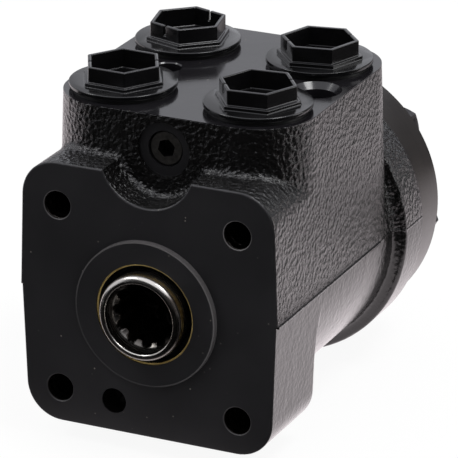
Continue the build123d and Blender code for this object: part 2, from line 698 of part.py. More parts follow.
def build_dust_seal():
    """Dust seal in the front bore: a thin pressed case with a rubber wiper."""
    lip_r = NOSE_R + SEAT_GAP
    outer = DUST_BORE_R - SEAT_GAP
    front = DUST_CASE_SINK - PILOT_HEIGHT
    lip_y = DUST_BORE_REAR - DUST_LIP_DEPTH
    with BuildPart() as seal:
        turned(Mode.ADD, [
            (front, outer - DUST_CASE_WALL),
            (front, outer),
            (DUST_BORE_REAR, outer),
            (DUST_BORE_REAR, lip_r + SEAL_LIP_THICK),
            (lip_y, lip_r),
            (lip_y - DUST_LIP_LENGTH, lip_r + DUST_LIP_THICK),
            (DUST_BORE_REAR - DUST_CASE_FLOOR, outer - DUST_CASE_WALL),
        ])
    return seal.part


# ================================================================ gear set, plate and cover
def rotor_point(phase):
    """Point of the rotor outline: the path of a rim lobe centre, moved in by the lobe radius."""
    a = radians(phase)
    n = GEAR_LOBES
    x = LOBE_CIRCLE_R * cos(a) - ECCENTRICITY * cos(n * a)
    y = LOBE_CIRCLE_R * sin(a) - ECCENTRICITY * sin(n * a)
    dx = -LOBE_CIRCLE_R * sin(a) + ECCENTRICITY * n * sin(n * a)
    dy = LOBE_CIRCLE_R * cos(a) - ECCENTRICITY * n * cos(n * a)
    inset = (LOBE_R + GEAR_CLEARANCE) / hypot(dx, dy)
    return (x - dy * inset, y + dx * inset)


def build_rotor():
    """Orbiting rotor with six teeth and an internal spline, off the shaft axis by the eccentricity."""
    samples = GEAR_TEETH * ROTOR_SAMPLES
    outline = [rotor_point(index * 360 / samples) for index in range(samples)]
    centre = Plane(origin=(0, PLATE_REAR, ECCENTRICITY), x_dir=(0, 0, 1), z_dir=(0, 1, 0))
    with BuildPart() as rotor:
        with BuildSketch(centre.offset(ROTOR_SIDE_GAP)):
            with BuildLine():
                Spline(*outline, periodic=True)
            make_face()
            Circle(SPLINE_MINOR_R, mode=Mode.SUBTRACT)
        extrude(amount=RIM_WIDTH - 2 * ROTOR_SIDE_GAP)
        spaces = spline_cut(centre, 0, SPLINE_MINOR_R - SPLINE_OVERLAP, SPLINE_MAJOR_R)
        extrude(spaces, amount=RIM_WIDTH, mode=Mode.SUBTRACT)
    return rotor.part


def build_rim():
    """Fixed gear rim with seven round lobes, a bolt hole in each, and an O-ring groove each side."""
    tip = LOBE_CIRCLE_R + 2 * ECCENTRICITY - LOBE_R + VALLEY_CLEARANCE
    half_step = radians(LOBE_STEP / 2)
    reach = LOBE_R + tip
    # Valley arcs are tangent to both neighbouring lobes and reach the rotor's outermost point.
    valley_centre = (reach**2 - LOBE_CIRCLE_R**2) / (2 * (reach - LOBE_CIRCLE_R * cos(half_step)))
    valley_r = tip - valley_centre
    lobe_x, lobe_y = (LOBE_CIRCLE_R * cos(half_step), -LOBE_CIRCLE_R * sin(half_step))
    share = valley_r / (valley_r + LOBE_R)
    touch_x = valley_centre + (lobe_x - valley_centre) * share
    touch_y = lobe_y * share
    with BuildPart() as rim:
        with BuildSketch(gear_plane(PLATE_REAR)):
            Circle(SET_R)
            with BuildSketch(mode=Mode.PRIVATE) as cavity:
                with BuildLine():
                    for index in range(GEAR_LOBES):
                        turn = (index + 0.5) * LOBE_STEP
                        start = Vector(touch_x, touch_y).rotate(Axis.Z, turn)
                        mid = Vector(tip, 0).rotate(Axis.Z, turn)
                        end = Vector(touch_x, -touch_y).rotate(Axis.Z, turn)
                        lobe = Vector(LOBE_CIRCLE_R - LOBE_R, 0).rotate(Axis.Z, turn + LOBE_STEP / 2)
                        follow = Vector(touch_x, touch_y).rotate(Axis.Z, turn + LOBE_STEP)
                        ThreePointArc(start, mid, end)
                        ThreePointArc(end, lobe, follow)
                make_face()
            add(cavity.sketch, mode=Mode.SUBTRACT)
            with PolarLocations(BOLT_CIRCLE_R, GEAR_LOBES):
                Circle(BOLT_HOLE_R, mode=Mode.SUBTRACT)
        extrude(amount=RIM_WIDTH)
        cut_o_groove(PLATE_REAR, PLATE_REAR + O_GROOVE_DEPTH)
        cut_o_groove(RIM_REAR - O_GROOVE_DEPTH, RIM_REAR)
    return rim.part


def build_plate():
    """Distributor plate between housing and gear set, with seven channels to the gear chambers."""
    with BuildPart() as plate:
        with BuildSketch(gear_plane(HOUSING_REAR)):
            Circle(SET_R)
            Circle(PLATE_BORE_R, mode=Mode.SUBTRACT)
            with PolarLocations(BOLT_CIRCLE_R, GEAR_LOBES):
                Circle(BOLT_HOLE_R, mode=Mode.SUBTRACT)
            with PolarLocations(CHANNEL_CIRCLE_R + CHANNEL_R, GEAR_LOBES, start_angle=LOBE_STEP / 2):
                SlotOverall(4 * CHANNEL_R, 2 * CHANNEL_R, mode=Mode.SUBTRACT)
        extrude(amount=PLATE_THICK)
    return plate.part


def build_cover():
    """Rear cover: a thick disc with a turned step and seven bolt holes."""
    step_y = RIM_REAR + COVER_STEP_Y
    with BuildPart() as cover:
        turned(Mode.ADD, [
            (RIM_REAR, 0),
            (RIM_REAR, SET_R),
            (step_y, SET_R),
            (step_y, COVER_STEP_R),
            (COVER_REAR - COVER_EDGE, COVER_STEP_R),
            (COVER_REAR, COVER_STEP_R - COVER_EDGE),
            (COVER_REAR, 0),
        ])
        with BuildSketch(gear_plane(RIM_REAR)):
            with PolarLocations(BOLT_CIRCLE_R, GEAR_LOBES):
                Circle(BOLT_HOLE_R)
        extrude(amount=COVER_THICK, mode=Mode.SUBTRACT)
    return cover.part


def build_o_rings():
    """Three square-set O-rings: housing to plate, plate to rim and rim to cover."""
    inner = O_RING_R - O_RING_WIDTH / 2
    outer = O_RING_R + O_RING_WIDTH / 2
    starts = (HOUSING_REAR - O_GROOVE_DEPTH, PLATE_REAR, RIM_REAR - O_GROOVE_DEPTH)
    with BuildPart() as rings:
        for start in starts:
            turned(Mode.ADD, box_profile(start, start + O_GROOVE_DEPTH, inner, outer))
    return rings.part


def build_bolts():
    """Six hexagon bolts that clamp cover, rim and plate to the housing."""
    tip = HOUSING_REAR - BOLT_THREAD_LENGTH
    with BuildPart() as bolts:
        for index in range(GEAR_LOBES):
            if index == VALVE_BOLT_INDEX:
                continue
            place = on_circle(BOLT_CIRCLE_R, lobe_angle(index))
            turn = index * BOLT_HEAD_TURN
            with BuildSketch(across(WASHER_REAR)):
                with Locations(place):
                    RegularPolygon(BOLT_HEAD_AF / 2, 6, major_radius=False, rotation=turn)
            extrude(amount=-BOLT_HEAD_HEIGHT)
            with BuildSketch(across(tip)):
                with Locations(place):
                    Circle(BOLT_R)
            extrude(amount=tip - WASHER_REAR)
    return bolts.part


def build_valve_bolt():
    """The seventh bolt, with a round socket head, above the check valve."""
    place = on_circle(BOLT_CIRCLE_R, lobe_angle(VALVE_BOLT_INDEX))
    tip = HOUSING_REAR - BOLT_THREAD_LENGTH
    with BuildPart() as bolt:
        with BuildSketch(across(WASHER_REAR)):
            with Locations(place):
                Circle(VALVE_BOLT_HEAD_R)
        extrude(amount=-BOLT_HEAD_HEIGHT)
        with BuildSketch(across(WASHER_REAR + BOLT_HEAD_HEIGHT)):
            with Locations(place):
                RegularPolygon(VALVE_BOLT_SOCKET_AF / 2, 6, major_radius=False)
        extrude(amount=BOLT_HEAD_HEIGHT / 2, mode=Mode.SUBTRACT)
        with BuildSketch(across(tip)):
            with Locations(place):
                Circle(BOLT_R)
        extrude(amount=tip - WASHER_REAR)
    return bolt.part


def build_washers():
    """Seven sealing washers below the bolt heads."""
    with BuildPart() as washers:
        with BuildSketch(gear_plane(COVER_REAR)):
            with PolarLocations(BOLT_CIRCLE_R, GEAR_LOBES):
                Circle(WASHER_R)
            with PolarLocations(BOLT_CIRCLE_R, GEAR_LOBES):
                Circle(BOLT_HOLE_R, mode=Mode.SUBTRACT)
        extrude(amount=WASHER_THICK)
    return washers.part


# ================================================================ cardan shaft and spacer
def build_cardan():
    """Cardan shaft on its tilted axis, forked over the cross pin and splined in the rotor."""
    tilt = radians(CARDAN_TILT)
    axis_dir = (0, cos(tilt), sin(tilt))
    centre = (0, PIN_Y, 0)
    end = (RIM_REAR - SPACER_THICK - PIN_Y - SPLINE_MAJOR_R * sin(tilt)) / cos(tilt)
    spline_start = end - CARDAN_SPLINE_LENGTH
    root_r = SPLINE_MINOR_R - SPLINE_PLAY
    tip_r = SPLINE_MAJOR_R - SPLINE_PLAY
    with BuildPart() as cardan:
        with BuildSketch(Plane(origin=centre, x_dir=axis_dir, z_dir=(1, 0, 0))):
            with BuildLine():
                Polyline(
                    (-CARDAN_FRONT, 0),
                    (-CARDAN_FRONT, CARDAN_HEAD_R - CARDAN_HEAD_CHAMFER),
                    (CARDAN_HEAD_CHAMFER - CARDAN_FRONT, CARDAN_HEAD_R),
                    (CARDAN_HEAD_REAR, CARDAN_HEAD_R),
                    (CARDAN_HEAD_REAR + CARDAN_HEAD_CONE, CARDAN_SHAFT_R),
                    (spline_start - CARDAN_NECK, CARDAN_SHAFT_R),
                    (spline_start, root_r),
                    (end, root_r),
                    (end, 0),
                    close=True,
                )
            make_face()
        revolve(axis=Axis(centre, axis_dir))
        # Fork slot over the cross pin, deep enough for the pin to rock in it by the tilt.
        slot = Plane(origin=centre, x_dir=(1, 0, 0), z_dir=axis_dir)
        slot_end = PIN_R + CARDAN_SLOT_SIDE + CARDAN_HEAD_R * tan(tilt)
        with BuildSketch(slot.offset(-CARDAN_FRONT)):
            Rectangle(2 * CARDAN_HEAD_R + 1, 2 * (PIN_R + CARDAN_SLOT_SIDE))
        extrude(amount=CARDAN_FRONT + slot_end, mode=Mode.SUBTRACT)
        # Crowned spline teeth: straight teeth trimmed by a barrel.
        with BuildPart(mode=Mode.PRIVATE) as teeth:
            front = slot.offset(spline_start)
            ribs = spline_cut(front, -SPLINE_PLAY, root_r - SPLINE_OVERLAP, tip_r)
            extrude(ribs, amount=CARDAN_SPLINE_LENGTH)
            with BuildSketch(Plane(origin=centre, x_dir=axis_dir, z_dir=(1, 0, 0))):
                with BuildLine():
                    crown = ThreePointArc(
                        (spline_start, tip_r - CARDAN_CROWN),
                        ((spline_start + end) / 2, tip_r),
                        (end, tip_r - CARDAN_CROWN),
                    )
                    Polyline(crown @ 1, (end, 0), (spline_start, 0), crown @ 0)
                make_face()
            revolve(axis=Axis(centre, axis_dir), mode=Mode.INTERSECT)
        add(teeth.part)
    return cardan.part


def build_spacer():
    """Loose round spacer in the rotor bore, between the cardan shaft and the cover."""
    end = RIM_REAR - ROTOR_SIDE_GAP
    with BuildPart() as spacer:
        with BuildSketch(across(end - SPACER_THICK)):
            with Locations((0, ECCENTRICITY)):
                Circle(SPACER_R)
        extrude(amount=-SPACER_THICK)
    return spacer.part


# ================================================================ valves
def build_relief_plug():
    """Threaded adjusting plug with a hexagon socket, just below its spot face."""
    front = RELIEF_FACE_Y + RELIEF_PLUG_SINK
    with BuildPart() as plug:
        with BuildSketch(across(front)):
            with Locations((0, RELIEF_Z)):
                Circle(RELIEF_BORE_R - SEAT_GAP)
        extrude(amount=-RELIEF_PLUG_LENGTH)
        chamfer(plug.edges().filter_by(GeomType.CIRCLE).group_by(Axis.Y)[0], RELIEF_PLUG_SINK)
        with BuildSketch(across(front)):
            with Locations((0, RELIEF_Z)):
                RegularPolygon(RELIEF_SOCKET_AF / 2, 6, major_radius=False, rotation=RELIEF_SOCKET_TURN)
        extrude(amount=-RELIEF_SOCKET_DEPTH, mode=Mode.SUBTRACT)
    return plug.part


def build_relief_spring():
    """Coil spring between the adjusting plug and the poppet."""
    start = RELIEF_FACE_Y + RELIEF_PLUG_SINK + RELIEF_PLUG_LENGTH + RELIEF_WIRE_R
    end = RELIEF_POPPET_FRONT - RELIEF_WIRE_R
    with BuildPart() as spring:
        with BuildLine():
            coil = Helix(
                pitch=(end - start) / RELIEF_TURNS,
                height=end - start,
                radius=RELIEF_COIL_R,
                center=(0, start, RELIEF_Z),
                direction=(0, 1, 0),
            )
        with BuildSketch(Plane(origin=coil @ 0, z_dir=coil % 0)):
            RegularPolygon(RELIEF_WIRE_R, 6)
        sweep(path=coil, is_frenet=True)
    return spring.part


def build_relief_poppet():
    """Guided poppet with a cone that closes the seat hole."""
    guide_r = RELIEF_BORE_R - RELIEF_FIT
    guide_end = RELIEF_SEAT_Y - RELIEF_SEAT_HOLE_R - RELIEF_NECK
    with BuildPart() as poppet:
        with BuildSketch(Plane(origin=(0, 0, RELIEF_Z), x_dir=(0, 1, 0), z_dir=(1, 0, 0))):
            with BuildLine():
                Polyline(
                    (RELIEF_POPPET_FRONT, 0),
                    (RELIEF_POPPET_FRONT, guide_r),
                    (guide_end, guide_r),
                    (guide_end, RELIEF_STEM_R),
                    (RELIEF_SEAT_Y - SEAT_GAP, RELIEF_STEM_R),
                    (RELIEF_SEAT_Y - SEAT_GAP, RELIEF_NOSE_R),
                    (RELIEF_SEAT_Y + RELIEF_SEAT_HOLE_R, 0),
                    close=True,
                )
            make_face()
        revolve(axis=Axis((0, 0, RELIEF_Z), (0, 1, 0)))
    return poppet.part


def build_relief_seat():
    """Pressed-in seat ring of the relief valve."""
    with BuildPart() as seat:
        with BuildSketch(across(RELIEF_SEAT_Y)):
            with Locations((0, RELIEF_Z)):
                Circle(RELIEF_BORE_R - SEAT_GAP)
                Circle(RELIEF_SEAT_HOLE_R, mode=Mode.SUBTRACT)
        extrude(amount=-RELIEF_SEAT_THICK)
    return seat.part


def build_check_ball():
    """Steel ball of the check valve, at rest on its seat edge."""
    x, z = on_circle(BOLT_CIRCLE_R, lobe_angle(VALVE_BOLT_INDEX))
    rest = sqrt(CHECK_BALL_R**2 - CHECK_SEAT_HOLE_R**2) + SEAT_GAP
    with BuildPart() as ball:
        with Locations((x, CHECK_SEAT_Y + rest, z)):
            Sphere(CHECK_BALL_R)
    return ball.part


def build_check_pin():
    """Rolled pin between the valve bolt and the ball, which limits the ball's lift."""
    place = on_circle(BOLT_CIRCLE_R, lobe_angle(VALVE_BOLT_INDEX))
    ball_rest = CHECK_SEAT_Y + sqrt(CHECK_BALL_R**2 - CHECK_SEAT_HOLE_R**2)
    start = ball_rest + CHECK_BALL_R + CHECK_TRAVEL + PIN_CLEARANCE
    end = HOUSING_REAR - BOLT_THREAD_LENGTH - SEAT_GAP
    with BuildPart() as pin:
        with BuildSketch(across(start)):
            with Locations(place):
                Circle(CHECK_PIN_R)
                Circle(CHECK_PIN_BORE_R, mode=Mode.SUBTRACT)
        extrude(amount=start - end)
    return pin.part


# ================================================================ port plugs
def build_port_plug(name):
    """Moulded transit plug: hollow hexagon cup on a round disc, with a hollow shank in the port."""
    x, y = PORTS[name]
    top = PLUG_BASE + PLUG_DISC_THICK
    rim = top + PLUG_HEX_HEIGHT
    shank_r = PORT_BORE_R - PLUG_CLEARANCE
    slit_turn = PLUG_TURN[name] + PLUG_SLIT_TURN
    with BuildPart() as plug:
        for height, thick, radius in (
            (PLUG_BASE, PLUG_DISC_THICK, PLUG_DISC_R),
            (PLUG_BASE - PLUG_SHANK_LENGTH, PLUG_SHANK_LENGTH, shank_r),
        ):
            with BuildSketch(Plane.XY.offset(height)):
                with Locations((x, y)):
                    Circle(radius)
            extrude(amount=thick)
        with BuildSketch(Plane.XY.offset(top)):
            with Locations((x, y)):
                RegularPolygon(PLUG_COLLAR_R, 6, rotation=PLUG_TURN[name])
        extrude(amount=PLUG_COLLAR_HEIGHT)
        with BuildSketch(Plane.XY.offset(top)):
            with Locations((x, y)):
                RegularPolygon(PLUG_HEX_R, 6, rotation=PLUG_TURN[name])
        extrude(amount=PLUG_HEX_HEIGHT)
        with BuildSketch(Plane.XY.offset(top)):
            with Locations((x, y)):
                RegularPolygon(PLUG_HEX_R - PLUG_WALL, 6, rotation=PLUG_TURN[name])
        extrude(amount=PLUG_HEX_HEIGHT, mode=Mode.SUBTRACT)
        # Blind hollow from below, so that the cup floor stays closed.
        with BuildSketch(Plane.XY.offset(PLUG_BASE - PLUG_SHANK_LENGTH)):
            with Locations((x, y)):
                Circle(shank_r - PLUG_WALL)
        extrude(amount=PLUG_SHANK_LENGTH + PLUG_DISC_THICK - PLUG_FLOOR, mode=Mode.SUBTRACT)
        # Two opposite slits in the cup wall.
        with BuildSketch(Plane.XY.offset(rim)):
            with Locations(Location((x, y, 0), (0, 0, slit_turn))):
                Rectangle(2 * PLUG_COLLAR_R, PLUG_SLIT)
        extrude(amount=-PLUG_SLIT_DEPTH, mode=Mode.SUBTRACT)
    return plug.part


def build_plug_seal(name):
    """Flat rubber ring between a plug disc and the port face."""
    with BuildPart() as seal:
        with BuildSketch(Plane.XY.offset(BLOCK_TOP)):
            with Locations(PORTS[name]):
                Circle(PLUG_SEAL_R)
                Circle(PORT_BORE_R + PORT_CHAMFER, mode=Mode.SUBTRACT)
        extrude(amount=PLUG_SEAL_THICK)
    return seal.part


write("housing", build_housing())
write("spool", build_spool())
write("sleeve", build_sleeve())
write("cross_pin", build_cross_pin())
write("centring_springs", build_springs())
write("spring_keeper", build_ring(
    SPRING_Y - KEEPER_WIDTH / 2 + SEAT_GAP, SPRING_Y + KEEPER_WIDTH / 2 - SEAT_GAP,
    SLEEVE_R - KEEPER_DEPTH + SEAT_GAP, SLEEVE_R))
write("bearing_outer_race", build_ring(
    BORE_FRONT, BORE_FRONT + RACE_THICK, BEARING_INNER_R, BEARING_OUTER_R))
write("bearing_cage", build_cage())
write("bearing_needles", build_needles())
write("bearing_inner_race", build_ring(
    INNER_RACE_Y, INNER_RACE_Y + RACE_THICK, BEARING_INNER_R, BEARING_OUTER_R))
write("shaft_seal", build_shaft_seal())
write("dust_seal", build_dust_seal())
write("distributor_plate", build_plate())
write("gear_rim", build_rim())
write("gear_rotor", build_rotor())
write("end_cover", build_cover())
write("set_o_rings", build_o_rings())
write("cover_bolts", build_bolts())
write("valve_bolt", build_valve_bolt())
write("bolt_washers", build_washers())
write("cardan_shaft", build_cardan())
write("cardan_spacer", build_spacer())
write("relief_plug", build_relief_plug())
write("relief_spring", build_relief_spring())
write("relief_poppet", build_relief_poppet())
write("relief_seat", build_relief_seat())
write("check_ball", build_check_ball())
write("check_pin", build_check_pin())
for port in PORTS:
    write("port_plug_" + port, build_port_plug(port))
    write("plug_seal_" + port, build_plug_seal(port))
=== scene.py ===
import math

import bmesh
import bpy
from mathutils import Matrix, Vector


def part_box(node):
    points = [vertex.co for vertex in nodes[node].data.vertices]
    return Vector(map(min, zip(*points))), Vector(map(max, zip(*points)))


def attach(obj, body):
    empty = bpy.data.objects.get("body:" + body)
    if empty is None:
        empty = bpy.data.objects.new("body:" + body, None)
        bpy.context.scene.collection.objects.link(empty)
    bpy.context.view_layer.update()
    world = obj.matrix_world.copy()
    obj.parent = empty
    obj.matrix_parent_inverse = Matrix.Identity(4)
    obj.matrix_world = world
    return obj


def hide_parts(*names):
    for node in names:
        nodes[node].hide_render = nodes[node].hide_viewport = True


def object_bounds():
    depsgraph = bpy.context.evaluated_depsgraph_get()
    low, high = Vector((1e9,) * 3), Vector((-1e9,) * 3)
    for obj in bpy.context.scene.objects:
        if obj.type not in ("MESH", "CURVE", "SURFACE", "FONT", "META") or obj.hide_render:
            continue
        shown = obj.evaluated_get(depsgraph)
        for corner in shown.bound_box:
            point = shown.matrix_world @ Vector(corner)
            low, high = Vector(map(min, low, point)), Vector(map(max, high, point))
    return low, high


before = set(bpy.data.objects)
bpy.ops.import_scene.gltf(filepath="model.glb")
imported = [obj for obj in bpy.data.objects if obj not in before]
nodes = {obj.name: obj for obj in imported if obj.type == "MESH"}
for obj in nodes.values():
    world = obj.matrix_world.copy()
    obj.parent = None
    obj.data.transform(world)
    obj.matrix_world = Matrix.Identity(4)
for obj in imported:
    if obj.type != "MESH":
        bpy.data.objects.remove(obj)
cad_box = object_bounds()

# ---------------------------------------------------------------- cast housing
# Grey iron cast in sand and painted gloss black. The skin keeps the grain of the sand; the
# mounting face, the port face and the relief valve's spot face are milled flat before painting.


def linear(hex_colour):
    """An sRGB hex colour, such as "2a2829", as linear red, green, blue and alpha."""
    parts = [int(hex_colour[i:i + 2], 16) / 255 for i in (0, 2, 4)]
    straight = [c / 12.92 if c <= 0.04045 else ((c + 0.055) / 1.055) ** 2.4 for c in parts]
    return straight + [1.0]


def add(tree, kind, inputs=None, **settings):
    """Adds one node with its settings; inputs gives each socket a value or a node's output."""
    made = tree.nodes.new(kind)
    for key, value in settings.items():
        setattr(made, key, value)
    for key, value in (inputs or {}).items():
        if isinstance(value, bpy.types.NodeSocket):
            tree.links.new(value, made.inputs[key])
        else:
            made.inputs[key].default_value = value
    return made


def new_material(name):
    """An empty material with its node tree."""
    made = bpy.data.materials.new(name)
    made.use_nodes = True
    made.node_tree.nodes.clear()
    return made


def finish_material(made, shader):
    """Links a shader to the material's output."""
    add(made.node_tree, "ShaderNodeOutputMaterial", {"Surface": shader.outputs[0]})
    return made


def give(piece, made):
    """Puts one material on a whole piece."""
    piece.data.materials.clear()
    piece.data.materials.append(made)


# Gloss paint over sand-cast iron: black, with a glossy skin broken up by sand grain about
# 1.4 mm across. On the milled faces the same paint lies flat and shows only fine dust.
cast_paint = new_material("gloss black paint on sand-cast iron")
t = cast_paint.node_tree
place = add(t, "ShaderNodeTexCoord")
xyz = add(t, "ShaderNodeSeparateXYZ", {0: place.outputs["Object"]})

mount_offset = 0.02919
relief_axis_z = 0.047
ports_middle_y = 0.05185
small_port_x = 0.0308
tapped_hole_x = -0.0182
# Milled front face and pilot ring: everything in front of the mounting face.
front = add(t, "ShaderNodeMapRange", {
    0: xyz.outputs["Y"], 1: 0.0002, 2: 0.0006, 3: 1.0, 4: 0.0})
# Milled port face: everything in the top plane.
top = add(t, "ShaderNodeMapRange", {
    0: xyz.outputs["Z"], 1: 0.0572, 2: 0.0574, 3: 0.0, 4: 1.0})
# Spot face round the relief valve: inside a circle about the valve's axis.
spot_place = add(t, "ShaderNodeMapping", {
    "Vector": place.outputs["Object"], "Location": (0, 0, -relief_axis_z), "Scale": (1, 0, 1)})
spot_reach = add(t, "ShaderNodeVectorMath", {0: spot_place.outputs[0]}, operation="LENGTH")
spot_in = add(t, "ShaderNodeMapRange", {
    0: spot_reach.outputs["Value"], 1: 0.0083, 2: 0.0085, 3: 1.0, 4: 0.0})
spot_back = add(t, "ShaderNodeMapRange", {
    0: xyz.outputs["Y"], 1: 0.0125, 2: 0.0129, 3: 0.0, 4: 1.0})
spot = add(t, "ShaderNodeMath", {
    0: spot_in.outputs[0], 1: spot_back.outputs[0]}, operation="MULTIPLY")
# Bores about the shaft axis are bare honed iron.
axis_place = add(t, "ShaderNodeMapping", {
    "Vector": place.outputs["Object"], "Scale": (1, 0, 1)})
axis_reach = add(t, "ShaderNodeVectorMath", {0: axis_place.outputs[0]}, operation="LENGTH")
bore = add(t, "ShaderNodeMapRange", {
    0: axis_reach.outputs["Value"], 1: 0.0226, 2: 0.0227, 3: 1.0, 4: 0.0})
behind = add(t, "ShaderNodeMapRange", {
    0: xyz.outputs["Y"], 1: 0.0040, 2: 0.0042, 3: 0.0, 4: 1.0})
honed = add(t, "ShaderNodeMath", {
    0: bore.outputs[0], 1: behind.outputs[0]}, operation="MULTIPLY")
# Holes bored down from the port face: the four ports, the small port and the tapped hole.
mid_ports = add(t, "ShaderNodeVectorMath", {
    0: place.outputs["Object"], 1: (0.0, ports_middle_y, 0.0)}, operation="SUBTRACT")
four = add(t, "ShaderNodeVectorMath", {0: mid_ports.outputs[0]}, operation="ABSOLUTE")
drilled = None
for found, centre_x, centre_y, hole_r in (
    (four, 0.022, 0.02205, 0.0106),
    (mid_ports, small_port_x, 0.0, 0.0079),
    (mid_ports, tapped_hole_x, 0.0, 0.0045),
):
    away = add(t, "ShaderNodeVectorMath", {
        0: found.outputs[0], 1: (centre_x, centre_y, 0.0)}, operation="SUBTRACT")
    away = add(t, "ShaderNodeVectorMath", {0: away.outputs[0], 1: (1, 1, 0)}, operation="MULTIPLY")
    away = add(t, "ShaderNodeVectorMath", {0: away.outputs[0]}, operation="LENGTH")
    inside = add(t, "ShaderNodeMapRange", {
        0: away.outputs["Value"], 1: hole_r, 2: hole_r + 0.0001, 3: 1.0, 4: 0.0})
    drilled = inside if drilled is None else add(t, "ShaderNodeMath", {
        0: drilled.outputs[0], 1: inside.outputs[0]}, operation="MAXIMUM")
above = add(t, "ShaderNodeMapRange", {
    0: xyz.outputs["Z"], 1: 0.030, 2: 0.031, 3: 0.0, 4: 1.0})
drilled = add(t, "ShaderNodeMath", {
    0: drilled.outputs[0], 1: above.outputs[0]}, operation="MULTIPLY")
# How far the sand grain shows: not at all on what is milled, less below the parting line.
milled = add(t, "ShaderNodeMath", {
    0: front.outputs[0], 1: top.outputs[0]}, operation="MAXIMUM")
milled = add(t, "ShaderNodeMath", {
    0: milled.outputs[0], 1: spot.outputs[0]}, operation="MAXIMUM")
milled = add(t, "ShaderNodeMath", {
    0: milled.outputs[0], 1: honed.outputs[0]}, operation="MAXIMUM")
milled = add(t, "ShaderNodeMath", {
    0: milled.outputs[0], 1: drilled.outputs[0]}, operation="MAXIMUM")
lower = add(t, "ShaderNodeMapRange", {
    0: xyz.outputs["Z"], 1: 0.0015, 2: 0.0035, 3: 0.38, 4: 1.0})
rough_cast = add(t, "ShaderNodeMath", {0: 1.0, 1: milled.outputs[0]}, operation="SUBTRACT")
rough_cast = add(t, "ShaderNodeMath", {
    0: rough_cast.outputs[0], 1: lower.outputs[0]}, operation="MULTIPLY")
# Sand grain: warped cells about 1.4 mm across and a finer grit of about 0.5 mm.
warp = add(t, "ShaderNodeTexNoise", {
    "Vector": place.outputs["Object"], "Scale": 520.0, "Detail": 2.0})
warp = add(t, "ShaderNodeVectorMath", {
    0: warp.outputs["Color"], 1: (0.5, 0.5, 0.5)}, operation="SUBTRACT")
warp = add(t, "ShaderNodeVectorMath", {0: warp.outputs[0], "Scale": 0.0014}, operation="SCALE")
warped = add(t, "ShaderNodeVectorMath", {
    0: place.outputs["Object"], 1: warp.outputs[0]}, operation="ADD")
cells = add(t, "ShaderNodeTexVoronoi", {
    "Vector": warped.outputs[0], "Scale": 700.0, "Smoothness": 0.5}, feature="SMOOTH_F1")
grit = add(t, "ShaderNodeTexNoise", {
    "Vector": place.outputs["Object"], "Scale": 1900.0, "Detail": 3.0, "Roughness": 0.6})
swell = add(t, "ShaderNodeTexNoise", {
    "Vector": place.outputs["Object"], "Scale": 190.0, "Detail": 1.0})
grain = add(t, "ShaderNodeMath", {0: cells.outputs["Distance"], 1: 1.1}, operation="MULTIPLY")
grain = add(t, "ShaderNodeMath", {
    0: grit.outputs["Fac"], 1: 0.4, 2: grain.outputs[0]}, operation="MULTIPLY_ADD")
grain = add(t, "ShaderNodeMath", {
    0: swell.outputs["Fac"], 1: 0.35, 2: grain.outputs[0]}, operation="MULTIPLY_ADD")
# Milled faces keep a faint orange peel of the paint.
peel = add(t, "ShaderNodeTexNoise", {
    "Vector": place.outputs["Object"], "Scale": 260.0, "Detail": 2.0})
relief = add(t, "ShaderNodeMix", {
    0: rough_cast.outputs[0], 2: peel.outputs["Fac"], 3: grain.outputs[0]})
strength = add(t, "ShaderNodeMapRange", {
    0: rough_cast.outputs[0], 1: 0.0, 2: 1.0, 3: 0.04, 4: 1.0})
skin = add(t, "ShaderNodeBump", {
    "Strength": strength.outputs[0], "Distance": 0.00048, "Height": relief.outputs[0]})
# Parting line of the mould: a ridge 0.4 mm wide where the two halves met, with a ragged edge.
ragged = add(t, "ShaderNodeTexNoise", {
    "Vector": place.outputs["Object"], "Scale": 700.0, "Detail": 3.0})
ragged = add(t, "ShaderNodeMath", {
    0: ragged.outputs["Fac"], 1: 0.0005, 2: xyz.outputs["Z"]}, operation="MULTIPLY_ADD")
ridge_up = add(t, "ShaderNodeMapRange", {
    0: ragged.outputs[0], 1: 0.00205, 2: 0.00235, 3: 0.0, 4: 1.0})
ridge_down = add(t, "ShaderNodeMapRange", {
    0: ragged.outputs[0], 1: 0.0026, 2: 0.0031, 3: 0.0, 4: 1.0})
ridge = add(t, "ShaderNodeMath", {
    0: ridge_up.outputs[0], 1: ridge_down.outputs[0]}, operation="SUBTRACT")
bare = add(t, "ShaderNodeMath", {0: 1.0, 1: milled.outputs[0]}, operation="SUBTRACT")
ridge = add(t, "ShaderNodeMath", {0: ridge.outputs[0], 1: bare.outputs[0]}, operation="MULTIPLY")
skin = add(t, "ShaderNodeBump", {
    "Strength": 0.8, "Distance": 0.0004, "Height": ridge.outputs[0], "Normal": skin.outputs[0]})
# Colour: near black, browner in the pits, with pale dust specks 0.2 mm across on the front.
tint = add(t, "ShaderNodeValToRGB", {0: grain.outputs[0]})
tint.color_ramp.elements[0].position = 0.35
tint.color_ramp.elements[0].color = linear("070707")
tint.color_ramp.elements[1].position = 1.1
tint.color_ramp.elements[1].color = linear("0d0c0c")
front_tone = add(t, "ShaderNodeTexNoise", {
    "Vector": place.outputs["Object"], "Scale": 35.0, "Detail": 3.0})
front_colour = add(t, "ShaderNodeValToRGB", {0: front_tone.outputs["Fac"]})
front_colour.color_ramp.elements[0].position = 0.35
front_colour.color_ramp.elements[0].color = linear("19181b")
front_colour.color_ramp.elements[1].position = 0.7
front_colour.color_ramp.elements[1].color = linear("212023")
dust = add(t, "ShaderNodeTexVoronoi", {
    "Vector": place.outputs["Object"], "Scale": 260.0, "Randomness": 1.0})
dust = add(t, "ShaderNodeMapRange", {
    0: dust.outputs["Distance"], 1: 0.03, 2: 0.08, 3: 0.6, 4: 0.0})
dust_patch = add(t, "ShaderNodeTexNoise", {
    "Vector": place.outputs["Object"], "Scale": 90.0, "Detail": 2.0})
dust_patch = add(t, "ShaderNodeMapRange", {
    0: dust_patch.outputs["Fac"], 1: 0.44, 2: 0.56, 3: 0.0, 4: 1.0})
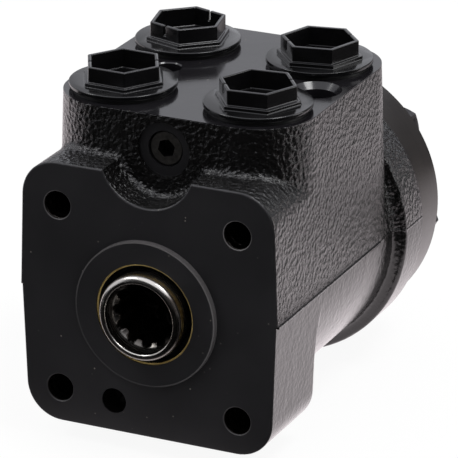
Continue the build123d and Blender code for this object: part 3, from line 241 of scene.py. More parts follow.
dust = add(t, "ShaderNodeMath", {
    0: dust.outputs[0], 1: dust_patch.outputs[0]}, operation="MULTIPLY")
front_colour = add(t, "ShaderNodeMix", {
    0: dust.outputs[0], 6: front_colour.outputs[0], 7: linear("8f8880")}, data_type="RGBA")
colour = add(t, "ShaderNodeMix", {
    0: milled.outputs[0], 6: tint.outputs[0], 7: front_colour.outputs[2]}, data_type="RGBA")
colour = add(t, "ShaderNodeMix", {
    0: honed.outputs[0], 6: colour.outputs[2], 7: linear("7a7672")}, data_type="RGBA")
# Tapped mounting holes: dark oily iron with thread lines 1.5 mm apart.
folded = add(t, "ShaderNodeVectorMath", {0: place.outputs["Object"]}, operation="ABSOLUTE")
folded = add(t, "ShaderNodeVectorMath", {
    0: folded.outputs[0], 1: (mount_offset, 0.0, mount_offset)}, operation="SUBTRACT")
folded = add(t, "ShaderNodeVectorMath", {0: folded.outputs[0], 1: (1, 0, 1)}, operation="MULTIPLY")
hole_reach = add(t, "ShaderNodeVectorMath", {0: folded.outputs[0]}, operation="LENGTH")
tapped = add(t, "ShaderNodeMapRange", {
    0: hole_reach.outputs["Value"], 1: 0.0043, 2: 0.00435, 3: 1.0, 4: 0.0})
in_flange = add(t, "ShaderNodeMapRange", {
    0: xyz.outputs["Y"], 1: 0.0296, 2: 0.0298, 3: 1.0, 4: 0.0})
tapped = add(t, "ShaderNodeMath", {
    0: tapped.outputs[0], 1: in_flange.outputs[0]}, operation="MULTIPLY")
thread = add(t, "ShaderNodeTexWave", {
    "Vector": place.outputs["Object"], "Scale": 106.0}, bands_direction="Y")
thread_height = add(t, "ShaderNodeMath", {
    0: thread.outputs["Fac"], 1: tapped.outputs[0]}, operation="MULTIPLY")
skin = add(t, "ShaderNodeBump", {
    "Strength": 0.7, "Distance": 0.0006, "Height": thread_height.outputs[0],
    "Normal": skin.outputs[0]})
colour = add(t, "ShaderNodeMix", {
    0: tapped.outputs[0], 6: colour.outputs[2], 7: linear("2a2725")}, data_type="RGBA")
# Painted highlight: the pilot ring's edge and the rims of the holes are lightened,
# most of all at the upper right, where the light catches them.
ring_edge = add(t, "ShaderNodeMath", {
    0: axis_reach.outputs["Value"], 1: 0.0225, 2: 0.00025}, operation="COMPARE")
rim_edge = add(t, "ShaderNodeMath", {
    0: hole_reach.outputs["Value"], 1: 0.00447, 2: 0.0001}, operation="COMPARE")
edge_highlight = add(t, "ShaderNodeMath", {
    0: ring_edge.outputs[0], 1: rim_edge.outputs[0]}, operation="MAXIMUM")
edge_highlight = add(t, "ShaderNodeMath", {0: edge_highlight.outputs[0], 1: front.outputs[0]}, operation="MULTIPLY")
# The painted highlight is strongest towards the upper right, where the light falls.
lit_side = add(t, "ShaderNodeVectorMath", {
    0: place.outputs["Object"], 1: (22.0, 0.0, 26.0)}, operation="DOT_PRODUCT")
lit_side = add(t, "ShaderNodeMapRange", {
    0: lit_side.outputs["Value"], 1: -0.6, 2: 0.8, 3: 0.12, 4: 0.75})
edge_highlight = add(t, "ShaderNodeMath", {0: edge_highlight.outputs[0], 1: lit_side.outputs[0]}, operation="MULTIPLY")
colour = add(t, "ShaderNodeMix", {
    0: edge_highlight.outputs[0], 6: colour.outputs[2], 7: linear("6a6768")}, data_type="RGBA")
# Gloss: sharp on the port face, dull on the front and the spot face.
gloss = add(t, "ShaderNodeMapRange", {
    0: front.outputs[0], 1: 0.0, 2: 1.0, 3: 0.20, 4: 0.50})
gloss = add(t, "ShaderNodeMix", {0: top.outputs[0], 2: gloss.outputs[0], 3: 0.12})
gloss = add(t, "ShaderNodeMix", {0: spot.outputs[0], 2: gloss.outputs[0], 3: 0.45})
metal = add(t, "ShaderNodeMath", {
    0: honed.outputs[0], 1: tapped.outputs[0]}, operation="MAXIMUM")
metal = add(t, "ShaderNodeMath", {0: metal.outputs[0], 1: 0.9}, operation="MULTIPLY")
paint = add(t, "ShaderNodeBsdfPrincipled", {
    "Base Color": colour.outputs[2],
    "Roughness": gloss.outputs[0],
    "Metallic": metal.outputs[0],
    "Normal": skin.outputs[0],
})
finish_material(cast_paint, paint)
give(nodes["housing"], cast_paint)

# ---------------------------------------------------------------- spool and its nose
# Ground steel spool. Only its nose shows, turned and polished, with the splined socket that
# takes the steering column; a thin film of oil has dried brown on one side.
spool_steel = new_material("polished steel with a dried oil film")
t = spool_steel.node_tree
place = add(t, "ShaderNodeTexCoord")
rings = add(t, "ShaderNodeMapping", {
    "Vector": place.outputs["Object"], "Scale": (60, 4000, 60)})
rings = add(t, "ShaderNodeTexNoise", {"Vector": rings.outputs[0], "Scale": 1.0, "Detail": 3.0})
film = add(t, "ShaderNodeTexNoise", {
    "Vector": place.outputs["Object"], "Scale": 160.0, "Detail": 4.0, "Roughness": 0.65})
apart = add(t, "ShaderNodeSeparateXYZ", {0: place.outputs["Object"]})
side = add(t, "ShaderNodeMapRange", {
    0: apart.outputs["X"], 1: 0.004, 2: 0.012, 3: 0.0, 4: 0.75})
film = add(t, "ShaderNodeMapRange", {0: film.outputs["Fac"], 1: 0.42, 2: 0.62, 3: 0.1, 4: 1.0})
film = add(t, "ShaderNodeMath", {0: film.outputs[0], 1: side.outputs[0]}, operation="MULTIPLY")
colour = add(t, "ShaderNodeMix", {
    0: film.outputs[0], 6: linear("c9c5bf"), 7: linear("5c4634")}, data_type="RGBA")
# Painted shade: the socket is darkened deeper in, behind its counterbore, where the hollow lies in
# shade.
inward = add(t, "ShaderNodeVectorMath", {
    0: place.outputs["Object"], 1: (1, 0, 1)}, operation="MULTIPLY")
inward = add(t, "ShaderNodeVectorMath", {0: inward.outputs[0]}, operation="LENGTH")
socket = add(t, "ShaderNodeMapRange", {
    0: inward.outputs["Value"], 1: 0.0109, 2: 0.0111, 3: 1.0, 4: 0.0})
depth = add(t, "ShaderNodeMapRange", {
    0: apart.outputs["Y"], 1: -0.0052, 2: 0.0, 3: 0.0, 4: 0.96})
socket_shade = add(t, "ShaderNodeMath", {0: socket.outputs[0], 1: depth.outputs[0]}, operation="MULTIPLY")
colour = add(t, "ShaderNodeMix", {
    0: socket_shade.outputs[0], 6: colour.outputs[2], 7: linear("1a1410")}, data_type="RGBA")
gloss = add(t, "ShaderNodeMapRange", {
    0: rings.outputs["Fac"], 1: 0.3, 2: 0.7, 3: 0.16, 4: 0.30})
lathe = add(t, "ShaderNodeBump", {
    "Strength": 0.25, "Distance": 0.00002, "Height": rings.outputs["Fac"]})
steel = add(t, "ShaderNodeBsdfPrincipled", {
    "Base Color": colour.outputs[2],
    "Metallic": 1.0,
    "Roughness": gloss.outputs[0],
    "Normal": lathe.outputs[0],
})
finish_material(spool_steel, steel)
# The rim of the nose is polished round: its turned radius of 1.2 mm grows to 1.75 mm.
nose_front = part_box("spool")[0].y
turned_round, polished_round = 0.0012, 0.00175
nose_r = 0.0134
rounded = bmesh.new()
rounded.from_mesh(nodes["spool"].data)
bmesh.ops.remove_doubles(rounded, verts=rounded.verts, dist=1e-6)
for vertex in rounded.verts:
    reach = math.hypot(vertex.co.x, vertex.co.z)
    over = reach - (nose_r - turned_round)
    ahead = nose_front + turned_round - vertex.co.y
    if over > -1e-5 and ahead > -1e-5:
        grown = polished_round / turned_round
        new_reach = nose_r - polished_round + over * grown
        vertex.co.x *= new_reach / reach
        vertex.co.z *= new_reach / reach
        vertex.co.y = nose_front + polished_round - ahead * grown
spool_mesh = bpy.data.meshes.new("polished_spool")
rounded.to_mesh(spool_mesh)
rounded.free()
spool_mesh.polygons.foreach_set("use_smooth", [True] * len(spool_mesh.polygons))
spool_mesh.set_sharp_from_angle(angle=math.radians(28))
spool_piece = bpy.data.objects.new("polished_spool", spool_mesh)
bpy.context.scene.collection.objects.link(spool_piece)
give(spool_piece, spool_steel)
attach(spool_piece, "spool")
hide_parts("spool")

# ---------------------------------------------------------------- hidden ground parts
# Sleeve, cross pin, bearing, cardan shaft, rotor and valve parts: hardened steel, ground and
# lightly oiled. None of them shows from outside, so one plain finish serves for all.
ground_steel = new_material("ground hardened steel")
t = ground_steel.node_tree
place = add(t, "ShaderNodeTexCoord")
marks = add(t, "ShaderNodeMapping", {
    "Vector": place.outputs["Object"], "Scale": (150, 5000, 150)})
marks = add(t, "ShaderNodeTexNoise", {"Vector": marks.outputs[0], "Scale": 1.0, "Detail": 3.0})
colour = add(t, "ShaderNodeValToRGB", {0: marks.outputs["Fac"]})
colour.color_ramp.elements[0].position = 0.3
colour.color_ramp.elements[0].color = linear("aaa8a5")
colour.color_ramp.elements[1].position = 0.7
colour.color_ramp.elements[1].color = linear("c3c1be")
gloss = add(t, "ShaderNodeMapRange", {
    0: marks.outputs["Fac"], 1: 0.3, 2: 0.7, 3: 0.2, 4: 0.36})
lines = add(t, "ShaderNodeBump", {
    "Strength": 0.2, "Distance": 0.00002, "Height": marks.outputs["Fac"]})
steel = add(t, "ShaderNodeBsdfPrincipled", {
    "Base Color": colour.outputs[0],
    "Metallic": 1.0,
    "Roughness": gloss.outputs[0],
    "Normal": lines.outputs[0],
})
finish_material(ground_steel, steel)
for name in (
    "sleeve", "cross_pin", "spring_keeper", "bearing_outer_race", "bearing_inner_race",
    "bearing_needles", "gear_rotor", "cardan_shaft", "cardan_spacer",
    "relief_poppet", "relief_seat", "check_ball",
):
    give(nodes[name], ground_steel)

# ---------------------------------------------------------------- springs, cage and check pin
# Rolled spring steel, blued by its heat treatment and left with a scale that dulls it: the
# leaf springs, the coil spring, the pressed needle cage and the pin over the check ball.
spring_steel = new_material("blued spring steel")
t = spring_steel.node_tree
place = add(t, "ShaderNodeTexCoord")
scale_marks = add(t, "ShaderNodeTexNoise", {
    "Vector": place.outputs["Object"], "Scale": 380.0, "Detail": 4.0})
colour = add(t, "ShaderNodeValToRGB", {0: scale_marks.outputs["Fac"]})
colour.color_ramp.elements[0].position = 0.35
colour.color_ramp.elements[0].color = linear("4c5059")
colour.color_ramp.elements[1].position = 0.7
colour.color_ramp.elements[1].color = linear("7d7e80")
gloss = add(t, "ShaderNodeMapRange", {
    0: scale_marks.outputs["Fac"], 1: 0.3, 2: 0.7, 3: 0.28, 4: 0.45})
steel = add(t, "ShaderNodeBsdfPrincipled", {
    "Base Color": colour.outputs[0], "Metallic": 1.0, "Roughness": gloss.outputs[0]})
finish_material(spring_steel, steel)
for name in ("centring_springs", "relief_spring", "bearing_cage", "check_pin"):
    give(nodes[name], spring_steel)

# ---------------------------------------------------------------- gear rim, plate and cover
# Turned steel discs clamped behind the housing, with a thin coat of dark paint that leaves the
# fine lathe lines in view.
turned_steel = new_material("dark painted turned steel")
t = turned_steel.node_tree
place = add(t, "ShaderNodeTexCoord")
lathe = add(t, "ShaderNodeMapping", {
    "Vector": place.outputs["Object"], "Scale": (12, 2600, 12)})
lathe = add(t, "ShaderNodeTexNoise", {"Vector": lathe.outputs[0], "Scale": 1.0, "Detail": 4.0})
blotch = add(t, "ShaderNodeTexNoise", {
    "Vector": place.outputs["Object"], "Scale": 45.0, "Detail": 3.0})
mixed = add(t, "ShaderNodeMath", {
    0: lathe.outputs["Fac"], 1: blotch.outputs["Fac"]}, operation="MULTIPLY")
colour = add(t, "ShaderNodeValToRGB", {0: mixed.outputs[0]})
colour.color_ramp.elements[0].position = 0.12
colour.color_ramp.elements[0].color = linear("1c1817")
colour.color_ramp.elements[1].position = 0.42
colour.color_ramp.elements[1].color = linear("2e2926")
gloss = add(t, "ShaderNodeMapRange", {
    0: blotch.outputs["Fac"], 1: 0.3, 2: 0.7, 3: 0.28, 4: 0.38})
lines = add(t, "ShaderNodeBump", {
    "Strength": 0.3, "Distance": 0.00003, "Height": lathe.outputs["Fac"]})
coat = add(t, "ShaderNodeBsdfPrincipled", {
    "Base Color": colour.outputs[0],
    "Roughness": gloss.outputs[0],
    "Normal": lines.outputs[0],
})
finish_material(turned_steel, coat)
for name in ("distributor_plate", "gear_rim", "end_cover"):
    give(nodes[name], turned_steel)

# ---------------------------------------------------------------- cover bolts and washers
# Six hexagon bolts and a round-headed one clamp the gear set. They are forged, blackened and
# oiled, with a chamfered head each, on soft sealing washers; each head stopped at its own angle.
black_oxide = new_material("black oxide on forged steel")
t = black_oxide.node_tree
place = add(t, "ShaderNodeTexCoord")
scale_marks = add(t, "ShaderNodeTexNoise", {
    "Vector": place.outputs["Object"], "Scale": 600.0, "Detail": 3.0})
colour = add(t, "ShaderNodeValToRGB", {0: scale_marks.outputs["Fac"]})
colour.color_ramp.elements[0].position = 0.35
colour.color_ramp.elements[0].color = linear("242325")
colour.color_ramp.elements[1].position = 0.7
colour.color_ramp.elements[1].color = linear("454346")
forged = add(t, "ShaderNodeBump", {
    "Strength": 0.3, "Distance": 0.00005, "Height": scale_marks.outputs["Fac"]})
oxide = add(t, "ShaderNodeBsdfPrincipled", {
    "Base Color": colour.outputs[0], "Metallic": 0.7, "Roughness": 0.36,
    "Normal": forged.outputs[0]})
finish_material(black_oxide, oxide)
washer_metal = new_material("soft steel washer, dulled by oil")
t = washer_metal.node_tree
place = add(t, "ShaderNodeTexCoord")
smears = add(t, "ShaderNodeTexNoise", {
    "Vector": place.outputs["Object"], "Scale": 240.0, "Detail": 3.0})
colour = add(t, "ShaderNodeValToRGB", {0: smears.outputs["Fac"]})
colour.color_ramp.elements[0].position = 0.3
colour.color_ramp.elements[0].color = linear("5b5752")
colour.color_ramp.elements[1].position = 0.7
colour.color_ramp.elements[1].color = linear("8c8780")
washer_steel = add(t, "ShaderNodeBsdfPrincipled", {
    "Base Color": colour.outputs[0], "Metallic": 1.0, "Roughness": 0.42})
finish_material(washer_metal, washer_steel)


def from_rings(name, rings, closed=True):
    """A mesh from rings of points with equal counts; closed fills the first and last ring."""
    bm = bmesh.new()
    loops = [[bm.verts.new(point) for point in ring] for ring in rings]
    count = len(loops[0])
    for near, far in zip(loops, loops[1:]):
        for i in range(count):
            j = (i + 1) % count
            bm.faces.new((near[i], near[j], far[j], far[i]))
    if closed:
        bm.faces.new(loops[0][::-1])
        bm.faces.new(loops[-1])
    bmesh.ops.recalc_face_normals(bm, faces=bm.faces)
    made = bpy.data.meshes.new(name)
    bm.to_mesh(made)
    bm.free()
    made.polygons.foreach_set("use_smooth", [True] * len(made.polygons))
    made.set_sharp_from_angle(angle=math.radians(28))
    return made


def disc_ring(y, reach, count=48):
    """Points of a ring about the Y axis; reach gives the radius at each angle, or is a number."""
    points = []
    for i in range(count):
        angle = 2 * math.pi * i / count
        r = reach(angle) if callable(reach) else reach
        points.append((r * math.cos(angle), y, r * math.sin(angle)))
    return points


def hexagon(flats):
    """Radius of a hexagon at each angle, from its width across flats, with a flat facing +X."""
    def reach(angle):
        away = (angle + math.pi / 6) % (math.pi / 3) - math.pi / 6
        return flats / 2 / math.cos(away)
    return reach


cover_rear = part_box("end_cover")[1].y
bolt_low, bolt_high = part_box("cover_bolts")
washer_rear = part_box("bolt_washers")[1].y
bolt_circle = 0.0352
shank_r, tip_r, tip_length = 0.004, 0.0036, 0.0004
head_flats = 0.0111
round_head_r = 0.0058
socket_flats, socket_depth = 0.005, 0.0021
washer_r, washer_hole_r, washer_edge = 0.0064, 0.0043, 0.0001
head_hex = hexagon(head_flats)
chamfer_start = head_flats / 2 * 0.97
shoulder = bolt_high.y
hex_bolt = from_rings("hexagon bolt", [
    disc_ring(bolt_low.y, tip_r),
    disc_ring(bolt_low.y + tip_length, shank_r),
    disc_ring(washer_rear, shank_r),
    disc_ring(washer_rear, head_flats / 2 * 0.98),
    disc_ring(washer_rear + 0.0003, lambda a: head_hex(a) - 0.0001),
    [(x, shoulder - max(0.0, math.hypot(x, z) - chamfer_start) * 0.62, z)
     for x, y, z in disc_ring(0, head_hex)],
    disc_ring(shoulder, chamfer_start),
])
socket_hex = hexagon(socket_flats)
socket_bolt = from_rings("socket bolt", [
    disc_ring(bolt_low.y, tip_r),
    disc_ring(bolt_low.y + tip_length, shank_r),
    disc_ring(washer_rear, shank_r),
    disc_ring(washer_rear, round_head_r - 0.0001),
    disc_ring(washer_rear + 0.0002, round_head_r),
    disc_ring(shoulder - 0.0007, round_head_r),
    disc_ring(shoulder - 0.0002, round_head_r - 0.0003),
    disc_ring(shoulder, round_head_r - 0.0007),
    disc_ring(shoulder, lambda a: socket_hex(a) + 0.0003),
    disc_ring(shoulder - 0.0003, socket_hex),
    disc_ring(shoulder - socket_depth, socket_hex),
])
flat_washer = from_rings("washer", [
    disc_ring(cover_rear, washer_hole_r),
    disc_ring(cover_rear, washer_r - washer_edge),
    disc_ring(cover_rear + washer_edge, washer_r),
    disc_ring(washer_rear - washer_edge, washer_r),
    disc_ring(washer_rear, washer_r - washer_edge),
    disc_ring(washer_rear, washer_hole_r),
    disc_ring(cover_rear, washer_hole_r),
], closed=False)


def repeated(name, shape, made_of, values):
    """A plain mesh of one shape repeated round the shaft axis by a Geometry Nodes tree."""
    tree = bpy.data.node_groups.new(name, "GeometryNodeTree")
    tree.interface.new_socket("Geometry", in_out="OUTPUT", socket_type="NodeSocketGeometry")
    sockets = {}
    for label, kind in (
        ("Shape", "NodeSocketObject"), ("Material", "NodeSocketMaterial"),
        ("Count", "NodeSocketInt"), ("Circle Radius", "NodeSocketFloat"),
        ("First Angle", "NodeSocketFloat"), ("Skipped", "NodeSocketInt"),
        ("Only", "NodeSocketInt"), ("Turn Step", "NodeSocketFloat"),
    ):
        sockets[label] = tree.interface.new_socket(label, in_out="INPUT", socket_type=kind)
    given = add(tree, "NodeGroupInput").outputs
    points = add(tree, "GeometryNodePoints", {"Count": given["Count"]})
    number = add(tree, "GeometryNodeInputIndex")
    share = add(tree, "ShaderNodeMath", {
        0: number.outputs[0], 1: given["Count"]}, operation="DIVIDE")
    angle = add(tree, "ShaderNodeMath", {
        0: share.outputs[0], 1: -2 * math.pi, 2: given["First Angle"]}, operation="MULTIPLY_ADD")
    across = add(tree, "ShaderNodeMath", {0: angle.outputs[0]}, operation="COSINE")
    up = add(tree, "ShaderNodeMath", {0: angle.outputs[0]}, operation="SINE")
    spot_at = add(tree, "ShaderNodeCombineXYZ", {"X": across.outputs[0], "Z": up.outputs[0]})
    spot_at = add(tree, "ShaderNodeVectorMath", {
        0: spot_at.outputs[0], "Scale": given["Circle Radius"]}, operation="SCALE")
    placed = add(tree, "GeometryNodeSetPosition", {
        "Geometry": points.outputs[0], "Position": spot_at.outputs[0]})
    kept = add(tree, "FunctionNodeCompare", {
        "A": number.outputs[0], "B": given["Skipped"]}, data_type="INT", operation="NOT_EQUAL")
    alone = add(tree, "FunctionNodeCompare", {
        "A": number.outputs[0], "B": given["Only"]}, data_type="INT", operation="EQUAL")
    every = add(tree, "FunctionNodeCompare", {
        "A": given["Only"], "B": 0}, data_type="INT", operation="LESS_THAN")
    alone = add(tree, "FunctionNodeBooleanMath", {
        0: alone.outputs[0], 1: every.outputs[0]}, operation="OR")
    kept = add(tree, "FunctionNodeBooleanMath", {
        0: kept.outputs[0], 1: alone.outputs[0]}, operation="AND")
    turn = add(tree, "ShaderNodeMath", {
        0: number.outputs[0], 1: given["Turn Step"]}, operation="MULTIPLY")
    turn = add(tree, "ShaderNodeCombineXYZ", {"Y": turn.outputs[0]})
    shape_in = add(tree, "GeometryNodeObjectInfo", {"Object": given["Shape"]})
    copies = add(tree, "GeometryNodeInstanceOnPoints", {
        "Points": placed.outputs[0], "Selection": kept.outputs[0],
        "Instance": shape_in.outputs["Geometry"], "Rotation": turn.outputs[0]})
    real = add(tree, "GeometryNodeRealizeInstances", {"Geometry": copies.outputs[0]})
    painted = add(tree, "GeometryNodeSetMaterial", {
        "Geometry": real.outputs[0], "Material": given["Material"]})
    add(tree, "NodeGroupOutput", {"Geometry": painted.outputs[0]})
    pattern = bpy.data.objects.new(name + " shape", shape)
    piece = bpy.data.objects.new(name, bpy.data.meshes.new(name))
    bpy.context.scene.collection.objects.link(piece)
    grown = piece.modifiers.new("repeat", "NODES")
    grown.node_group = tree
    for label, value in {"Shape": pattern, "Material": made_of, **values}.items():
        grown[sockets[label].identifier] = value
    ready = piece.evaluated_get(bpy.context.evaluated_depsgraph_get())
    piece.data = bpy.data.meshes.new_from_object(ready)
    piece.modifiers.clear()
    bpy.data.objects.remove(pattern)
    return piece


lobes = {"Count": 7, "Circle Radius": bolt_circle, "First Angle": math.pi / 2}
hex_bolts = repeated("six_hexagon_bolts", hex_bolt, black_oxide, {
    **lobes, "Skipped": 3, "Only": -1, "Turn Step": math.radians(-13)})
round_bolt = repeated("round_headed_bolt", socket_bolt, black_oxide, {
    **lobes, "Skipped": -1, "Only": 3, "Turn Step": 0.0})
washers = repeated("seven_washers", flat_washer, washer_metal, {
    **lobes, "Skipped": -1, "Only": -1, "Turn Step": 0.0})
for piece, node, finish in (
    (hex_bolts, "cover_bolts", "black_bolt"),
    (round_bolt, "valve_bolt", "black_bolt"),
    (washers, "bolt_washers", "washer_metal"),
):
    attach(piece, "housing")
    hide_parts(node)

# ---------------------------------------------------------------- relief valve plug
# Adjusting plug of the relief valve: blackened steel, screwed in below its spot face. Keys have
# rubbed its flat face to a dull grey.
worn_oxide = new_material("black oxide, rubbed grey on the face")
t = worn_oxide.node_tree
place = add(t, "ShaderNodeTexCoord")
apart = add(t, "ShaderNodeSeparateXYZ", {0: place.outputs["Object"]})
face = add(t, "ShaderNodeMapRange", {
    0: apart.outputs["Y"], 1: 0.01362, 2: 0.01375, 3: 0.8, 4: 0.0})
scratches = add(t, "ShaderNodeTexNoise", {
    "Vector": place.outputs["Object"], "Scale": 900.0, "Detail": 4.0})
wear = add(t, "ShaderNodeMath", {
    0: face.outputs[0], 1: scratches.outputs["Fac"]}, operation="MULTIPLY")
colour = add(t, "ShaderNodeMix", {
    0: wear.outputs[0], 6: linear("121112"), 7: linear("55524f")}, data_type="RGBA")
oxide = add(t, "ShaderNodeBsdfPrincipled", {
    "Base Color": colour.outputs[2], "Metallic": 0.6, "Roughness": 0.42})
finish_material(worn_oxide, oxide)
give(nodes["relief_plug"], worn_oxide)

# ---------------------------------------------------------------- port plugs
# Transit plugs moulded in glossy black plastic: a hexagon cup on a round disc, its edges rounded
# by the mould by a third of a millimetre. Each seals on a flat ring of nitrile rubber.
moulded = new_material("glossy black moulded plastic")
t = moulded.node_tree
place = add(t, "ShaderNodeTexCoord")
flow = add(t, "ShaderNodeTexNoise", {
    "Vector": place.outputs["Object"], "Scale": 120.0, "Detail": 2.0})
sheen = add(t, "ShaderNodeMapRange", {0: flow.outputs["Fac"], 1: 0.3, 2: 0.7, 3: 0.12, 4: 0.22})
sink = add(t, "ShaderNodeBump", {
    "Strength": 0.25, "Distance": 0.0001, "Height": flow.outputs["Fac"]})
plastic = add(t, "ShaderNodeBsdfPrincipled", {
    "Base Color": linear("0a0a0b"), "Roughness": sheen.outputs[0], "Normal": sink.outputs[0]})
finish_material(moulded, plastic)


def softened(name, node, width):
    """A copy of a CAD node, its loose triangles merged and its edges rounded by a width."""
    shape = bmesh.new()
    shape.from_mesh(nodes[node].data)
    bmesh.ops.remove_doubles(shape, verts=shape.verts, dist=1e-6)
    bmesh.ops.dissolve_limit(
        shape, angle_limit=math.radians(1), verts=shape.verts, edges=shape.edges)
    merged = bpy.data.meshes.new(name)
    shape.to_mesh(merged)
    shape.free()
    merged.polygons.foreach_set("use_smooth", [True] * len(merged.polygons))
    piece = bpy.data.objects.new(name, merged)
    bpy.context.scene.collection.objects.link(piece)
    rounding = piece.modifiers.new("rounded edges", "BEVEL")
    rounding.width = width
    rounding.segments = 3
    rounding.limit_method = "ANGLE"
    rounding.angle_limit = math.radians(35)
    rounding.harden_normals = True
    ready = piece.evaluated_get(bpy.context.evaluated_depsgraph_get())
    piece.data = bpy.data.meshes.new_from_object(ready)
    piece.modifiers.clear()
    return piece


for corner in ("front_left", "front_right", "rear_left", "rear_right"):
    plug = softened("moulded_plug_" + corner, "port_plug_" + corner, 0.00035)
    give(plug, moulded)
    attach(plug, "plug_" + corner)
    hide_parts("port_plug_" + corner)

# ---------------------------------------------------------------- seals
# Moulded nitrile rubber, smooth and black with a soft sheen: the flat rings below the plugs, the
# lip seal behind the land and the three O-rings of the gear set.
nitrile = new_material("smooth black nitrile rubber")
t = nitrile.node_tree
place = add(t, "ShaderNodeTexCoord")
bloom = add(t, "ShaderNodeTexNoise", {
    "Vector": place.outputs["Object"], "Scale": 300.0, "Detail": 3.0})
dulled = add(t, "ShaderNodeMapRange", {
    0: bloom.outputs["Fac"], 1: 0.3, 2: 0.7, 3: 0.42, 4: 0.6})
rubber = add(t, "ShaderNodeBsdfPrincipled", {
    "Base Color": linear("111111"), "Roughness": dulled.outputs[0]})
finish_material(nitrile, rubber)
for name in (
    "shaft_seal", "set_o_rings", "plug_seal_front_left", "plug_seal_front_right",
    "plug_seal_rear_left", "plug_seal_rear_right",
):
    give(nodes[name], nitrile)
# The dust seal is pressed from thin steel with a yellow passivated coat; its wiper lip, bonded in,
# is rubber. The change lies half a millimetre inside the case.
seal_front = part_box("dust_seal")[0].y
cased = new_material("yellow passivated case with a rubber wiper")
t = cased.node_tree
place = add(t, "ShaderNodeTexCoord")
reach = add(t, "ShaderNodeVectorMath", {
    0: place.outputs["Object"], 1: (1, 0, 1)}, operation="MULTIPLY")
reach = add(t, "ShaderNodeVectorMath", {0: reach.outputs[0]}, operation="LENGTH")
case = add(t, "ShaderNodeMapRange", {
    0: reach.outputs["Value"], 1: 0.01515, 2: 0.01520, 3: 0.0, 4: 1.0})
apart = add(t, "ShaderNodeSeparateXYZ", {0: place.outputs["Object"]})
lip = add(t, "ShaderNodeMapRange", {
    0: apart.outputs["Y"], 1: seal_front + 0.0003, 2: seal_front + 0.0004, 3: 1.0, 4: 0.0})
case = add(t, "ShaderNodeMath", {0: case.outputs[0], 1: lip.outputs[0]}, operation="MULTIPLY")
tarnish = add(t, "ShaderNodeTexNoise", {
    "Vector": place.outputs["Object"], "Scale": 420.0, "Detail": 3.0})
yellow = add(t, "ShaderNodeValToRGB", {0: tarnish.outputs["Fac"]})
yellow.color_ramp.elements[0].position = 0.3
yellow.color_ramp.elements[0].color = linear("a0864c")
yellow.color_ramp.elements[1].position = 0.7
yellow.color_ramp.elements[1].color = linear("d8bd78")
colour = add(t, "ShaderNodeMix", {
    0: case.outputs[0], 6: linear("121212"), 7: yellow.outputs[0]}, data_type="RGBA")
gloss = add(t, "ShaderNodeMix", {0: case.outputs[0], 2: 0.5, 3: 0.3})
half = add(t, "ShaderNodeMath", {0: case.outputs[0], 1: 0.4}, operation="MULTIPLY")
seal = add(t, "ShaderNodeBsdfPrincipled", {
    "Base Color": colour.outputs[2], "Metallic": half.outputs[0], "Roughness": gloss.outputs[0]})
finish_material(cased, seal)
give(nodes["dust_seal"], cased)

# ---------------------------------------------------------------- floor, light and camera
# A pale studio sweep. Gloss paint mirrors a bright ceiling, a bright wall at the rear left and
# the lit floor behind the unit; the right wall and the camera's side are dim, so the side
# shows grey and the front stays dark. What the camera sees past the unit is plain white.
world = bpy.data.worlds.new("studio")
bpy.context.scene.world = world
world.use_nodes = True
t = world.node_tree
t.nodes.clear()
way = add(t, "ShaderNodeTexCoord")
height = add(t, "ShaderNodeSeparateXYZ", {0: way.outputs["Generated"]})
rear_left = add(t, "ShaderNodeVectorMath", {
    0: way.outputs["Generated"], 1: (-0.5, 0.8, 0.0)}, operation="DOT_PRODUCT")
rear_left = add(t, "ShaderNodeMapRange", {
    0: rear_left.outputs["Value"], 1: 0.50, 2: 0.72, 3: 0.0, 4: 0.85})
right = add(t, "ShaderNodeVectorMath", {
    0: way.outputs["Generated"], 1: (0.75, 0.66, 0.0)}, operation="DOT_PRODUCT")
right = add(t, "ShaderNodeMapRange", {
    0: right.outputs["Value"], 1: 0.06, 2: 0.20, 3: 0.03, 4: 0.12})
overhead = add(t, "ShaderNodeMapRange", {
    0: height.outputs["Z"], 1: 0.58, 2: 0.66, 3: 0.0, 4: 1.3})
left = add(t, "ShaderNodeMapRange", {0: height.outputs["X"], 1: -0.75, 2: -0.60, 3: 0.9, 4: 0.0})
room = add(t, "ShaderNodeMath", {
    0: rear_left.outputs[0], 1: right.outputs[0]}, operation="MAXIMUM")
room = add(t, "ShaderNodeMath", {0: room.outputs[0], 1: overhead.outputs[0]}, operation="MAXIMUM")
room = add(t, "ShaderNodeMath", {0: room.outputs[0], 1: left.outputs[0]}, operation="MAXIMUM")
rays = add(t, "ShaderNodeLightPath")
level = add(t, "ShaderNodeMix", {0: rays.outputs["Is Glossy Ray"], 2: 0.55, 3: room.outputs[0]})
seen = add(t, "ShaderNodeMix", {0: rays.outputs["Is Camera Ray"], 2: level.outputs[0], 3: 1.0})
coolness = add(t, "ShaderNodeMix", {
    0: rays.outputs["Is Glossy Ray"], 6: linear("ffffff"), 7: linear("f7f8ff")}, data_type="RGBA")
sky = add(t, "ShaderNodeBackground", {
    "Color": coolness.outputs[2], "Strength": seen.outputs[0]})
add(t, "ShaderNodeOutputWorld", {"Surface": sky.outputs[0]})

# The floor is pale everywhere; what gloss paint mirrors of it is bright behind the unit and
# fades to dark in front and at the right, where the camera's side of the studio has no light.
floor_z = cad_box[0].z - 0.0005
floor_mesh = bpy.data.meshes.new("floor")
floor_mesh.from_pydata(
    [(-3, -2, floor_z), (3, -2, floor_z), (3, 4, floor_z), (-3, 4, floor_z)],
    [], [(0, 1, 2, 3)])
floor = bpy.data.objects.new("floor", floor_mesh)
bpy.context.scene.collection.objects.link(floor)
pale = new_material("pale studio floor")
t = pale.node_tree
rays = add(t, "ShaderNodeLightPath")
matte = add(t, "ShaderNodeBsdfDiffuse", {"Color": linear("f2f2f2")})
place = add(t, "ShaderNodeTexCoord")
apart = add(t, "ShaderNodeSeparateXYZ", {0: place.outputs["Object"]})
rise = add(t, "ShaderNodeMapRange", {0: apart.outputs["Y"], 1: -0.02, 2: 0.02, 3: 0.01, 4: 1.6})
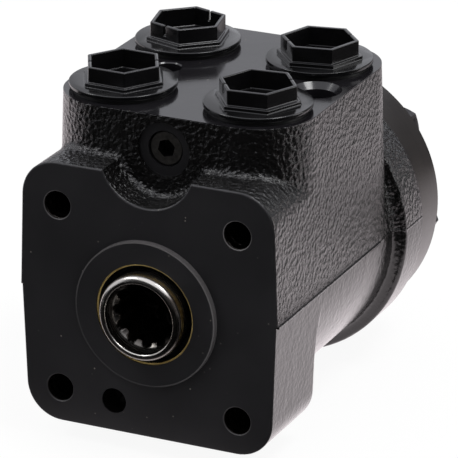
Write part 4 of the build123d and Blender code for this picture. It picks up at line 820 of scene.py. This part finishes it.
aside = add(t, "ShaderNodeMath", {
    0: apart.outputs["X"], 1: -0.75, 2: 0.03}, operation="MULTIPLY_ADD")
aside = add(t, "ShaderNodeMath", {0: aside.outputs[0], 1: apart.outputs["Y"]}, operation="ADD")
aside = add(t, "ShaderNodeMapRange", {0: aside.outputs[0], 1: -0.01, 2: 0.01, 3: 0.05, 4: 1.0})
fall = add(t, "ShaderNodeMapRange", {0: apart.outputs["Y"], 1: 0.10, 2: 0.65, 3: 1.0, 4: 0.05})
mirrored = add(t, "ShaderNodeMath", {
    0: rise.outputs[0], 1: fall.outputs[0]}, operation="MULTIPLY")
mirrored = add(t, "ShaderNodeMath", {
    0: mirrored.outputs[0], 1: aside.outputs[0]}, operation="MULTIPLY")
level = add(t, "ShaderNodeMix", {
    0: rays.outputs["Is Camera Ray"], 2: mirrored.outputs[0], 3: 1.04})
warmth = add(t, "ShaderNodeMix", {
    0: rays.outputs["Is Camera Ray"], 6: linear("fff6f9"), 7: linear("ffffff")}, data_type="RGBA")
white = add(t, "ShaderNodeEmission", {
    "Color": warmth.outputs[2], "Strength": level.outputs[0]})
share = add(t, "ShaderNodeMath", {0: rays.outputs["Is Camera Ray"], 1: 0.88}, operation="MULTIPLY")
share = add(t, "ShaderNodeMath", {
    0: rays.outputs["Is Glossy Ray"], 1: share.outputs[0]}, operation="MAXIMUM")
blend = add(t, "ShaderNodeMixShader", {
    0: share.outputs[0], 1: matte.outputs[0], 2: white.outputs[0]})
finish_material(pale, blend)
give(floor, pale)


def soft_box(name, place, aim, width, height, power):
    """A rectangular soft light at a place, aimed at a point."""
    lamp = bpy.data.lights.new(name, "AREA")
    lamp.shape = "RECTANGLE"
    lamp.size = width
    lamp.size_y = height
    lamp.energy = power
    holder = bpy.data.objects.new(name, lamp)
    bpy.context.scene.collection.objects.link(holder)
    holder.location = place
    holder.rotation_mode = "QUATERNION"
    holder.rotation_quaternion = (Vector(aim) - Vector(place)).to_track_quat("-Z", "Y")


middle = Vector((0.0, 0.05, 0.01))
soft_box("top light", (0.42, 0.05, 0.85), middle, 0.32, 0.25, 3.0)
soft_box("side light", (1.0, 0.45, 0.35), middle, 0.5, 0.5, 3.0)
soft_box("left light", (-0.6, -0.25, 0.7), middle, 0.25, 0.2, 1.6)

azimuth, elevation = math.radians(25.19), math.radians(21.34)
back = Vector((
    math.sin(azimuth) * math.cos(elevation),
    -math.cos(azimuth) * math.cos(elevation),
    math.sin(elevation),
))
lens = bpy.data.cameras.new("camera")
lens.sensor_width = 36.0
lens.lens = 313.5
lens.clip_start = 0.05
lens.clip_end = 50.0
camera = bpy.data.objects.new("camera", lens)
bpy.context.scene.collection.objects.link(camera)
camera.rotation_mode = "QUATERNION"
camera.rotation_quaternion = (-back).to_track_quat("-Z", "Y")
camera.location = Vector((0.0266, 0.0, 0.0309)) + back * 1.149
bpy.context.scene.camera = camera
bpy.context.scene.view_settings.view_transform = "Standard"
